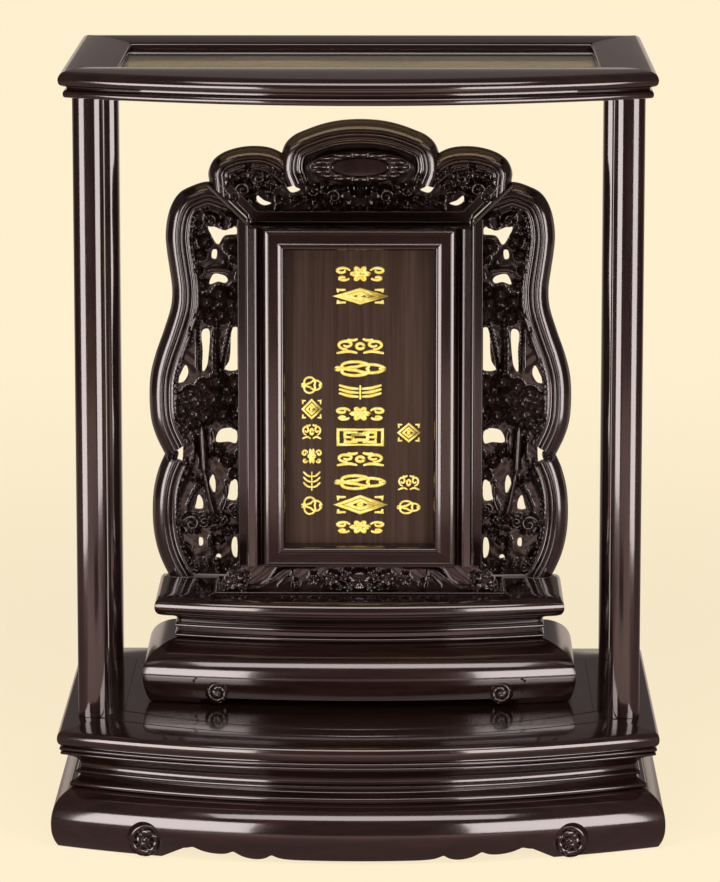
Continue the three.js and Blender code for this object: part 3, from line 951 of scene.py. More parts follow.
    def _top(self) -> None:
        """The top frame: a bead, a neck and a bullnose outside, and a rounded edge round the glass."""
        foot, top = self.top_foot, self.height
        outer = profile(
            [(-4.0, 0.0), (-1.6, 0.9), (-0.8, 3.2), (-1.4, 5.4), (-3.6, 6.6)],
            [(-3.9, 7.6), (-3.6, 8.8)],
            [(-1.2, 9.2), (1.6, 10.8), (2.8, 13.8), (2.4, 16.8), (0.6, 19.4), (-2.2, 20.8),
             (-3.6, top - foot)],
            foot=foot,
        )
        edge = [(30.0, 0.0), (22.0, -0.3), (14.0, -0.9), (7.0, -1.7), (2.6, -2.4), (0.8, -3.0), (0.0, -4.2)]
        seat = top - self.pane_seat
        rebate = [(0.0, seat), (self.top_rebate, seat), (self.top_rebate, foot)]
        inner = np.vstack([profile(edge, per=3, foot=top), rebate])
        ring = Moulding("top_rail", Body.CASE, self.top_plan, outer, self.top_light, inner)
        ring.build()


@dataclass
class Stand:
    """The stand under the tablet: swelling skirt on scrolled feet, beaded waist and moulded plate."""

    plan: Plan = Plan(164.0, 39.5, 58.0, 22.0)
    foot: float = 94.3
    skirt_top: float = 143.0
    waist_top: float = 163.0
    top: float = 179.3
    wall: float = 22.0
    foot_span: float = 40.0
    arch_rise: float = 6.0
    scroll_at: tuple[float, float] = (115.0, 105.2)
    scroll_radius: float = 8.2
    scroll_face: float = -66.0
    scroll_reach: float = 5.5

    def build(self) -> None:
        """Builds it from the foot up."""
        self._skirt()
        self._scrolls()
        self._waist()
        self._plate()

    def _edge(self, side: Side, share: Array) -> Array:
        """The skirt's lower edge: low arches on the front and back, straight sides.

        Args:
            side: Which side.
            share: Where along it, from -1 to 1.

        Returns:
            The edge's height there.
        """
        if side in (Side.LEFT, Side.RIGHT):
            return self.foot + 0 * share
        return self.foot + arch(self.plan.half_width * (1 - np.abs(share)) - self.foot_span, self.arch_rise)

    def _skirt_stations(self, side: Side) -> Array:
        """Stations for the skirt, with two at each place where its lower edge jumps.

        Args:
            side: Which side.

        Returns:
            Their places along it, from -1 to 1.
        """
        if side in (Side.LEFT, Side.RIGHT):
            return np.linspace(-1.0, 1.0, 9)
        half = self.plan.half_width
        jump = half - self.foot_span
        beyond = np.linspace(jump + 1e-3, half, 17)
        return np.concatenate([-beyond[::-1], np.linspace(-jump, jump, 97), beyond]) / half

    def _skirt(self) -> None:
        """The swelling skirt."""
        foot, top = self.foot, self.skirt_top
        outer = profile(
            [(6.0, 0.0), (7.4, 1.0)],
            [(7.4, 1.0), (9.6, 6.0), (11.6, 13.0), (12.6, 20.0), (12.4, 26.0), (10.6, 32.0), (6.8, 37.6),
             (0.6, 42.6), (-7.0, 46.4), (-15.0, top - foot)],
            per=6,
            foot=foot,
        )
        inner = np.array([(0.0, top), (0.0, foot)])
        ring = Moulding("stand_skirt", Body.TABLET, self.plan, outer, self.plan.grown(-self.wall), inner)
        ring.foot, ring.stations = self._edge, self._skirt_stations
        ring.build()

    def _scrolls(self) -> None:
        """The small scrolls on the front feet."""
        x, z = self.scroll_at
        form = Form()
        floor = self.foot + JOINT
        add_scroll(form, x, z, self.scroll_face, self.scroll_radius, self.scroll_reach, floor, -1)
        form.pair("stand_scroll_*", LACQUER, Body.TABLET, "stand_curl_*", 60.0)

    def _waist(self) -> None:
        """The waist: two thin beads and a cove under the plate."""
        foot, top = self.skirt_top, self.waist_top - JOINT
        outer = profile(
            [(-15.4, 0.0), (-13.8, 0.6), (-12.8, 2.0), (-13.6, 3.5), (-15.2, 4.2)],
            [(-16.2, 4.8), (-16.2, 7.4)],
            [(-15.0, 8.0), (-13.2, 9.4), (-13.4, 11.0), (-15.2, 12.0)],
            [(-16.4, 12.6), (-15.6, 15.4), (-12.6, 17.8), (-8.0, top - foot)],
            foot=foot,
        )
        form = moulded_block(outer, self.plan, self.plan.grown(-self.wall - 8))
        form.piece("stand_waist_beaded", LACQUER, Body.TABLET, "stand_waist")

    def _plate(self) -> None:
        """The plate: a bullnose whose upper edge is eased."""
        foot, top = self.waist_top, self.top
        outer = profile(
            [(-6.0, 0.0), (-3.0, 0.6)],
            [(-3.0, 0.6), (0.6, 2.4), (2.6, 5.6), (3.0, 9.0), (2.2, 12.2), (0.2, 14.6), (-2.8, 15.9),
             (-5.0, top - foot)],
            foot=foot,
        )
        form = moulded_block(outer, self.plan, PLATE_CORE)
        form.piece("stand_plate_moulded", LACQUER, Body.TABLET, "stand_plate")


# The tablet: picture frame, pierced boards and their carving


def beside(path: Array, insets: Array, hand: int) -> Array:
    """Lines beside a path: each point goes along the bisector of its two neighbours, so corners are mitred.

    Args:
        path: The path's points.
        insets: How far each line is from it.
        hand: 1 for the left of the path, -1 for its right.

    Returns:
        Points, stations by insets.
    """
    steps = np.diff(path, axis=0)
    steps /= np.linalg.norm(steps, axis=1, keepdims=True)
    normals = hand * np.stack([-steps[:, 1], steps[:, 0]], -1)
    before = np.vstack([normals[:1], normals])
    after = np.vstack([normals, normals[-1:]])
    bisector = (before + after) / (1 + np.sum(before * after, axis=1, keepdims=True))
    return path[:, None] + bisector[:, None] * np.asarray(insets, float)[None, :, None]


def trimmed(lines: Array, start: Array, end: Array) -> Array:
    """Lines that begin where they cross a straight cut: their stations are spread anew over what is left.

    Args:
        lines: Points, stations by lines.
        start: One point of the cut.
        end: Another one; what lies to the left of the cut, seen from the first, stays.

    Returns:
        The shortened lines.
    """
    step = (end - start) / np.linalg.norm(end - start)
    away = lines - start
    height = step[0] * away[..., 1] - step[1] * away[..., 0]
    first = np.maximum(np.argmax(height > 0, axis=0), 1)
    columns = np.arange(lines.shape[1])
    low, high = height[first - 1, columns], height[first, columns]
    begin = first - 1 + np.clip(-low / (high - low), 0.0, 1.0)
    last = len(lines) - 1
    station = begin + (last - begin) * np.linspace(0.0, 1.0, len(lines))[:, None]
    whole = np.clip(np.floor(station).astype(int), 0, last - 1)
    rest = (station - whole)[..., None]
    return lines[whole, columns] * (1 - rest) + lines[whole + 1, columns] * rest


# A rope bead's turn: its length, its swell, how deep it sinks, and how far each line is behind the last
ROPE_PITCH, ROPE_SWELL, ROPE_SINK, ROPE_SLANT = 4.2, 0.7, 0.5, 0.5


def run_moulding(form: Form, lines: Array, rises: Array, back: float, rope: slice | None = None) -> None:
    """A moulding in relief on a board, from lines beside its outline and a height for each.

    Args:
        form: The form to add it to.
        lines: Points, stations by lines.
        rises: Each line's height above the board's back.
        back: The Y of the board's back.
        rope: The lines of a bead that is twisted like a rope, whose height runs as a cosine of the way along.
    """
    height = np.broadcast_to(rises, lines.shape[:2]).copy()
    if rope is not None:
        steps = np.linalg.norm(np.diff(lines[:, rope].mean(axis=1), axis=0), axis=1)
        along = np.concatenate([[0.0], np.cumsum(steps)])[:, None]
        slant = np.arange(lines[:, rope].shape[1])[None, :] * ROPE_SLANT
        height[:, rope] += ROPE_SWELL * np.cos(2 * np.pi * (along / ROPE_PITCH + slant)) - ROPE_SINK
    front = np.stack([lines[..., 0], back - height, lines[..., 1]], -1)
    floor = np.stack([lines[:, [-1, 0], 0], np.full((len(lines), 2), back), lines[:, [-1, 0], 1]], -1)
    form.bar(np.hstack([front, floor]))


class Relief:
    """Heights carved into a board: every ornament is kept where it is the highest."""

    def __init__(self, x: Array, z: Array, ground: float, foot: float) -> None:
        """Starts with a ground that the chisel has left uneven; foot is the height of rims and edges."""
        self.x, self.z, self.foot = x, z, foot
        self.height = ground + 0.12 * np.sin(x * 0.5 + 2 * np.sin(z * 0.13)) * np.sin(z * 0.4)

    def lay(self, height: Array, where: Array) -> None:
        """Keeps a height where it is above what is there."""
        self.height = np.where(where, np.maximum(self.height, height), self.height)

    def _between(self, share: Array, top: float) -> Array:
        """Heights from the foot, at a share of 0, to a top."""
        return self.foot + (top - self.foot) * share

    def _around(self, x: float, z: float, radius: float) -> tuple[Array, Array]:
        """The distance from a point as a share of a radius, and the angle about it."""
        return np.hypot(self.x - x, self.z - z) / radius, np.arctan2(self.z - z, self.x - x)

    def needles(self, x: float, z: float, radius: float, top: float) -> None:
        """A clump of needles: a dome whose height falls between rays, with a button in the middle.

        Args:
            x: Its middle.
            z: Its middle's height.
            radius: Its radius.
            top: How high its middle is.
        """
        share, angle = self._around(x, z, radius)
        rays = 0.5 + 0.5 * np.cos(15 * angle + x)
        rim = 1 + 0.07 * np.cos(15 * angle + x)
        dome = np.sqrt(np.clip(1 - (share / rim) ** 2, 0.0, 1.0))
        grooves = (1 - rays) * np.clip(share * 2.2 - 0.5, 0.0, 1.0)
        button = 0.9 * np.sqrt(np.clip(1 - (share / 0.24) ** 2, 0.0, 1.0))
        self.lay(self._between(dome * (1 - 0.3 * grooves), top) + button, share < rim)

    def curl(self, x: float, z: float, radius: float, top: float, hand: int = 1) -> None:
        """A cloud curl: a dome with a spiral groove, whose phase is the distance plus a share of the angle.

        Args:
            x: Its middle.
            z: Its middle's height.
            radius: Its radius.
            top: How high its middle is.
            hand: 1 or -1, the way that it winds.
        """
        share, angle = self._around(x, z, radius)
        dome = np.clip(1 - share**4, 0.0, 1.0) ** 0.5
        phase = share * 1.7 + hand * angle / (2 * np.pi)
        groove = np.abs(np.sin(np.pi * phase)) ** 0.7
        self.lay(self._between(dome * (0.55 + 0.45 * groove), top), share < 1)

    def blossom(self, x: float, z: float, radius: float, top: float, petals: int = 5) -> None:
        """An open flower: dished petals round a button, parted where the cosine of the petals' angle is low.

        Args:
            x: Its middle.
            z: Its middle's height.
            radius: Its radius.
            top: How high their middles are.
            petals: How many there are.
        """
        share, angle = self._around(x, z, radius)
        lobe = np.abs(np.cos(petals * angle / 2))
        rim = 0.78 + 0.22 * lobe**0.6
        petal = np.clip(1 - (share / rim) ** 5, 0.0, 1.0) ** 0.5
        dish = 0.6 + 0.4 * np.clip(share / 0.7, 0.0, 1.0)
        button = np.sqrt(np.clip(1 - (share / 0.28) ** 2, 0.0, 1.0))
        self.lay(self._between(np.maximum(petal * dish * (0.6 + 0.4 * lobe**0.5), button), top), share < rim)

    def stem(self, points: Sequence[Sequence[float]], width: float, top: float, twist: float = 0.0) -> None:
        """A round stem, vein or stroke along a smooth line, tapered at both ends.

        Args:
            points: What it runs through.
            width: Its full width.
            top: How high its ridge is.
            twist: The length of one turn where it is twisted like a rope, or 0.
        """
        line = spline(points, 6)
        length = float(np.linalg.norm(np.diff(line, axis=0), axis=1).sum())
        distance, along, _, _ = nearest(self.x, self.z, line)
        share = along / length
        half = width / 2 * np.clip(np.sin(np.pi * (0.06 + 0.88 * share)) * 2.4, 0.35, 1.0)
        ridge = np.sqrt(np.clip(1 - (distance / half) ** 2, 0.0, 1.0))
        if twist:
            ridge = ridge * (0.8 + 0.2 * np.cos(2 * np.pi * along / twist))
        self.lay(self._between(ridge, top), distance < half)

    def leaf(self, start: Sequence[float], end: Sequence[float], width: float, top: float) -> None:
        """A pointed leaf: its half width is a sine of the way along, with a vein and side veins cut in.

        Args:
            start: Its stalk.
            end: Its tip.
            width: Its full width.
            top: How high it is beside the vein.
        """
        line = np.array([start, end], float)
        length = float(np.linalg.norm(line[1] - line[0]))
        distance, along, _, _ = nearest(self.x, self.z, line)
        share = along / length
        half = np.maximum(width / 2 * np.sin(np.pi * share**0.8), 0.01)
        across = np.clip(distance / half, 0.0, 1.0)
        swell = np.sqrt(np.clip(1 - across**2, 0.0, 1.0)) * (1 - 0.45 * np.exp(-((distance / 0.5) ** 2)))
        veins = 1 - 0.18 * (0.5 + 0.5 * np.cos(2 * np.pi * (along - 0.8 * distance) / 2.1))
        self.lay(self._between(swell * veins, top), distance < half)

    def band(self, start: Sequence[float], end: Sequence[float], width: float, top: float) -> None:
        """A flat straight band with eased edges.

        Args:
            start: Where its middle line begins.
            end: Where that ends.
            width: Its full width.
            top: Its height.
        """
        distance, _, _, _ = nearest(self.x, self.z, np.array([start, end], float))
        eased = np.clip((width / 2 - distance) / 1.2, 0.0, 1.0)
        self.lay(top - 1.4 * (1 - eased) ** 2, distance < width / 2)


# How near to an edge, in pitches of the grid, a point has to be to move onto it
SNAP = 0.52


@dataclass
class PiercedBoard:
    """A carved board cut from a grid: points near an edge move onto it, so that every contour is smooth."""

    outline: Array
    openings: Sequence[Array]
    back: float
    pitch: float

    def _within(self, x: Array, z: Array) -> Array:
        """Whether points are in the outline and in none of the openings.

        Args:
            x: Their distances from the middle.
            z: Their heights.

        Returns:
            A mask.
        """
        kept = inside(x, z, self.outline)
        for opening in self.openings:
            kept &= ~inside(x, z, opening)
        return kept

    def add_to(self, form: Form, carve: Callable[[Array, Array], Array]) -> None:
        """Adds the board: a carved front, a flat back and walls at every edge that only one face has.

        Args:
            form: The form to add it to.
            carve: Gives the height above the back for points of the board.
        """
        low, high = self.outline.min(axis=0), self.outline.max(axis=0)
        counts = np.ceil((high - low) / self.pitch).astype(int) + 1
        x, z = np.meshgrid(*[np.linspace(low[axis], high[axis], counts[axis]) for axis in (0, 1)])
        kept = self._within(x, z)
        gap = np.full(x.shape, np.inf)
        edge_x, edge_z = x.copy(), z.copy()
        for edge in (self.outline, *self.openings):
            distance, _, near_x, near_z = nearest(x, z, np.vstack([edge, edge[:1]]))
            closer = distance < gap
            gap = np.where(closer, distance, gap)
            edge_x, edge_z = np.where(closer, near_x, edge_x), np.where(closer, near_z, edge_z)
        snapped = gap < SNAP * self.pitch
        x, z = np.where(snapped, edge_x, x), np.where(snapped, edge_z, z)
        number = np.arange(x.size).reshape(x.shape)
        corners = np.stack([number[:-1, :-1], number[:-1, 1:], number[1:, 1:], number[1:, :-1]], -1)
        corners = corners.reshape(-1, 4)
        held = (kept | snapped).ravel()[corners]
        flat_x, flat_z = x.ravel(), z.ravel()

        def real(faces: Array) -> Array:
            """The faces whose middle lies on the board."""
            return faces[self._within(flat_x[faces].mean(axis=1), flat_z[faces].mean(axis=1))]

        squares = real(corners[held.all(axis=1)])
        three = held.sum(axis=1) == 3
        cut_corners = corners[three][held[three]].reshape(-1, 3)
        triangles = real(cut_corners)
        directed = np.vstack(
            [squares[:, [turn, (turn + 1) % 4]] for turn in range(4)]
            + [triangles[:, [turn, (turn + 1) % 3]] for turn in range(3)]
        )
        key = directed.min(axis=1) * x.size + directed.max(axis=1)
        _, first, uses = np.unique(key, return_index=True, return_counts=True)
        rim = directed[first[uses == 1]]
        front = np.stack([x, self.back - carve(x, z), z], -1)
        used = np.zeros(x.size, bool)
        used[squares.ravel()], used[triangles.ravel()] = True, True
        renumber = np.cumsum(used) - 1
        near = form.keep(front.reshape(-1, 3)[used])
        behind = front.reshape(-1, 3)[used].copy()
        behind[:, 1] = self.back
        far = form.keep(behind)
        for faces in (squares, triangles):
            ordered = renumber[faces]
            form.faces.extend(near[ordered].tolist())
            form.faces.extend(far[ordered[:, ::-1]].tolist())
        start, end = renumber[rim[:, 0]], renumber[rim[:, 1]]
        form.quads(near[end], near[start], far[start], far[end])


# The section of the moulded edge of a side board: how far in from the outline, and how high above the back
WING_EDGE = profile(
    [(0, 2), (0.6, 5.0), (1.9, 7.9), (3.8, 10.0)],
    [(3.8, 10.0), (5.2, 10.85), (6.9, 11.55), (8.7, 12.05), (9.8, 12.2), (10.5, 12.0), (11.0, 11.2)],
    [(11.2, 10.4), (11.7, 10.4)],
    [(11.9, 10.8), (12.6, 11.5), (13.6, 11.8), (14.4, 11.5), (15.0, 10.6)],
    [(15.3, 9.2), (16.4, 8.3), (18.0, 8.0), (19.6, 8.4)],
    [(20.0, 8.9), (20.6, 9.6), (21.6, 9.9), (22.7, 9.2), (23.7, 6.2)],
    per=3,
)
# Its last points, those of the innermost run, are a bead that is twisted like a rope
WING_ROPE = slice(-13, None)


@dataclass
class Wing:
    """A pierced side board: a serpentine moulded edge, a stile beside the frame, and pines over clouds."""

    back: float = 48.0
    foot: float = 179.6
    inner: float = 90.3
    mitre_in: tuple[float, float] = (90.0, 476.3)
    mitre_out: tuple[float, float] = (124.0, 509.3)
    notch: tuple[float, float] = (162.0, 282.0)
    pitch: float = 0.78
    ground: float = 4.0
    stile_width: float = 11.4
    stile_back: float = 9.0
    scroll_at: tuple[float, float] = (155.5, 281.5)
    scroll_radius: float = 4.4
    scroll_reach: float = 4.0
    scroll_rise: float = 13.2

    def _upper_edge(self) -> Array:
        """The outline from the mitre down to the notch."""
        return spline([
            (104, 503), (124, 509), (139, 505), (148, 500), (154, 492), (158, 481), (160, 465), (159, 451),
            (157, 437), (155, 420), (156, 406), (162, 386), (169, 366), (173, 350), (174.3, 333), (173, 311),
            (169, 297), self.notch,
        ], 10)

    def _lower_edge(self) -> Array:
        """The outline from the notch down past the foot."""
        return spline([
            self.notch, (167, 270), (171, 254), (172.4, 236), (171.5, 217), (168, 200), (162, 185),
            (154, 171),
        ], 14)

    def _openings(self) -> list[Array]:
        """The holes through the board.

        Returns:
            A closed line for each.
        """
        holes = (
            [(125, 472), (120, 472), (111, 469), (104, 472), (101, 471), (101, 466), (108, 465), (112, 464),
             (117, 457), (122, 464)],
            [(121, 453), (118, 453), (119, 445), (122, 446)],
            [(120, 433), (111, 431), (109, 428), (111, 425), (117, 426), (124, 424), (123, 429)],
            [(130, 386), (125, 387), (125, 367), (127, 355), (130, 351), (130, 368)],
            [(105, 388), (101, 388), (101, 353), (112, 353), (108, 361)],
            [(144, 357), (142, 352), (143, 347), (147, 342), (152, 342), (149, 348)],
            [(115, 303), (103, 303), (103, 291), (109, 292), (119, 292), (119, 297)],
            [(122, 265), (120, 258), (121, 249), (125, 258), (124, 262)],
            [(134, 248), (131, 244), (131, 236), (137, 236), (136, 241)],
            [(107, 259), (103, 262), (103, 243), (110, 244), (109, 250)],
            [(133.5, 212), (131, 211), (131, 205), (133.5, 204)],
            [(119, 198), (116, 197), (116, 194), (120, 195)],
            [(105, 212), (103, 212), (103, 194), (105.5, 196), (107, 205)],
        )
        return [spline(hole, 5, closed=True) for hole in holes]

    def _carve(self, x: Array, z: Array) -> Array:
        """The carving, from the top down: leaves, two crowns of pine, their stems, a rocky trunk and clouds.

        Args:
            x: Distances from the middle.
            z: Heights.

        Returns:
            The height above the board's back.
        """
        relief = Relief(x, z, self.ground, self.ground - 1.0)
        high = 13.5
        for px, pz, radius in (
            (126, 410, 7.5), (115, 416, 7.5), (105.5, 408, 8), (113.5, 399, 8), (101, 397, 7),
            (123.5, 397, 6.5), (97, 414, 5), (133, 400, 5), (140, 333, 7.5), (128.5, 339, 7.5),
            (116.5, 344, 8), (103, 342, 7.5), (146, 319, 6.5), (134, 325.5, 8), (120.5, 329, 9),
            (106.5, 329, 8), (98, 320, 6.5), (127, 314, 8), (112.5, 315.5, 8), (102, 308, 6.5),
            (140.5, 309, 6.5), (149, 330, 5), (117.5, 285.5, 6), (109.5, 277, 6.5), (103, 265, 6),
            (98.5, 282, 5), (127, 460, 6.5), (106, 455.5, 6.5), (102, 445.5, 5), (131, 449, 5),
            (97.5, 430, 5), (134, 436, 5), (129, 424, 5), (103, 421, 5), (146, 303, 5), (134, 300, 5.5),
        ):
            relief.needles(px, pz, radius, high - 0.12 * abs(px - 112))
        for points, width, twist in (
            ([(133.5, 396), (133, 375), (133, 351)], 4, 3.2),
            ([(118, 394), (119, 372), (119, 351)], 6.5, 5),
            ([(106, 391), (110.5, 371), (114, 351)], 4, 3.2),
            ([(141, 372), (140, 384), (143, 396)], 4, 3.4),
            ([(131, 306), (130, 287), (129, 267)], 9, 0),
            ([(138, 300), (137, 286), (139, 272)], 3, 0),
            ([(122.5, 304), (122, 290), (123, 278)], 3, 0),
            ([(125, 270), (130, 260), (136, 252), (141, 241), (143, 233)], 4, 3),
            ([(128.5, 267), (126, 253), (123.5, 241), (121, 233)], 7, 0),
            ([(123, 214.5), (123, 204), (119, 194), (117, 182)], 5, 4),
            ([(111, 258.5), (111, 245), (114.5, 235)], 5, 0),
            ([(139, 270), (143.5, 262), (148.5, 251.5), (151, 245)], 5, 2.6),
            ([(126, 436.5), (117, 437.5), (106, 436)], 6.5, 0),
            ([(121.5, 494.5), (115.5, 489.5), (112.5, 482), (114, 471)], 4, 2.8),
            ([(109, 484), (102.5, 479), (98.5, 470)], 5.5, 2.8),
            ([(148, 217), (140, 216), (132, 217)], 2.8, 0),
            ([(124.5, 219), (119.5, 219), (114.5, 220.5)], 2.8, 0),
            ([(144, 414), (146, 436), (147, 456)], 4, 3.6),
            ([(139, 199), (144, 205), (150, 208)], 3.2, 2.4),
        ):
            relief.stem(points, width, high - 0.5, twist)
        for start, end, width in (
            ((128, 486), (121, 474), 6), ((134, 478), (130, 467), 5), ((110, 496), (101, 490), 5),
            ((101, 480), (107, 470), 5), ((134, 470), (138, 458), 5), ((112, 446), (108, 436), 4.5),
            ((140, 420), (145, 408), 4.5), ((150, 366), (157, 355), 4.5), ((156, 352), (161, 340), 4.5),
            ((157, 336), (161, 322), 4.5), ((153, 312), (157, 300), 4.5), ((144, 292), (150, 284), 4),
            ((112, 186), (106, 192), 4.5), ((128, 186), (123, 192), 4),
        ):
            relief.leaf(start, end, width, high - 1.0)
        for px, pz, radius, hand in (
            (122, 478, 6, 1), (140, 224.5, 9, 1), (129.5, 226.5, 6.5, -1), (121, 229, 6, 1), (111, 218, 5, 1),
            (103, 234, 6, -1), (99, 228, 4, 1), (143, 192.5, 6, 1), (135.5, 189, 6, -1), (147, 185.5, 4, 1),
            (104.5, 219.5, 4, -1), (113, 228, 5, 1), (150, 226, 5, -1), (128, 190, 4.5, 1), (99, 186, 4.5, 1),
            (107, 184, 4, -1), (96.5, 205, 3.5, 1), (152, 281, 5, -1), (146, 276, 4, 1), (137, 262, 4, 1),
            (108, 298, 4, 1), (136, 489, 4, 1), (111, 190, 3.5, 1), (98.5, 252, 3.5, 1), (117, 210, 4, -1),
        ):
            relief.curl(px, pz, radius, high - 0.8, hand)
        behind_stile = x < self.inner + self.stile_width
        return np.where(behind_stile, np.minimum(relief.height, self.stile_back), relief.height)

    def _stile(self, form: Form) -> None:
        """The stile beside the frame, with a bead along its edge that turns up the mitre.

        Args:
            form: The form to add it to.
        """
        end = np.array(self.mitre_out) - (1.0, 1.4)
        path = np.array([(self.inner, self.foot), (self.inner, self.mitre_in[1] - 0.2), end])
        bead = profile(
            [(0, 9.0), (0.2, 10.6), (0.8, 11.5), (1.5, 11.95), (2.1, 12.0), (2.6, 11.9), (3.2, 11.6),
             (3.6, 11.0), (3.7, 10.3)],
            [(3.8, 10.0), (4.0, 10.0)],
            [(9.9, 9.9), (10.1, 9.9)],
            [(10.3, 9.7), (10.8, 9.2)],
            per=3,
        )
        straight = beside(path[:2] + [(0, 0), (0, 3)], bead[:, 0], -1)
        run_moulding(form, straight, bead[:, 1], self.back)
        narrow = bead[bead[:, 0] <= 3.9]
        run_moulding(form, beside(path[1:], narrow[:, 0], -1), narrow[:, 1] + 0.4, self.back)

    def form(self) -> Form:
        """The right-hand board, with a scroll in the notch where the two runs of moulding meet.

        Returns:
            Its form.
        """
        form = Form()
        mitre = np.array(self.mitre_out), np.array(self.mitre_in)
        level = np.array((0.0, self.foot)), np.array((200.0, self.foot))
        upper = trimmed(beside(self._upper_edge(), WING_EDGE[:, 0], -1), *mitre[::-1])
        lower = beside(self._lower_edge(), WING_EDGE[:, 0], -1)
        lower = trimmed(lower[::-1], *level)[::-1]
        run_moulding(form, upper, WING_EDGE[:, 1], self.back, WING_ROPE)
        run_moulding(form, lower, WING_EDGE[:, 1], self.back, WING_ROPE)
        field_row = int(np.searchsorted(WING_EDGE[:, 0], 19.0))
        corner = (self.inner + 1.0, self.mitre_in[1])
        shoulder = np.array(self.mitre_in) * 0.28 + np.array(self.mitre_out) * 0.72
        outline = np.vstack([
            [(self.inner + 1.0, self.foot + 0.4), corner, shoulder],
            upper[::6, field_row],
            lower[8::6, field_row],
            lower[-1:, field_row] + (0.0, 0.4),
        ])
        PiercedBoard(outline, self._openings(), self.back, self.pitch).add_to(form, self._carve)
        self._stile(form)
        face = self.back - self.scroll_rise
        add_scroll(form, *self.scroll_at, face, self.scroll_radius, self.scroll_reach, self.foot, 1)
        return form

    def build(self) -> None:
        """Makes both side boards."""
        self.form().pair("wing_*_carved", LACQUER_CARVED, Body.TABLET, "wing_*", 70.0)


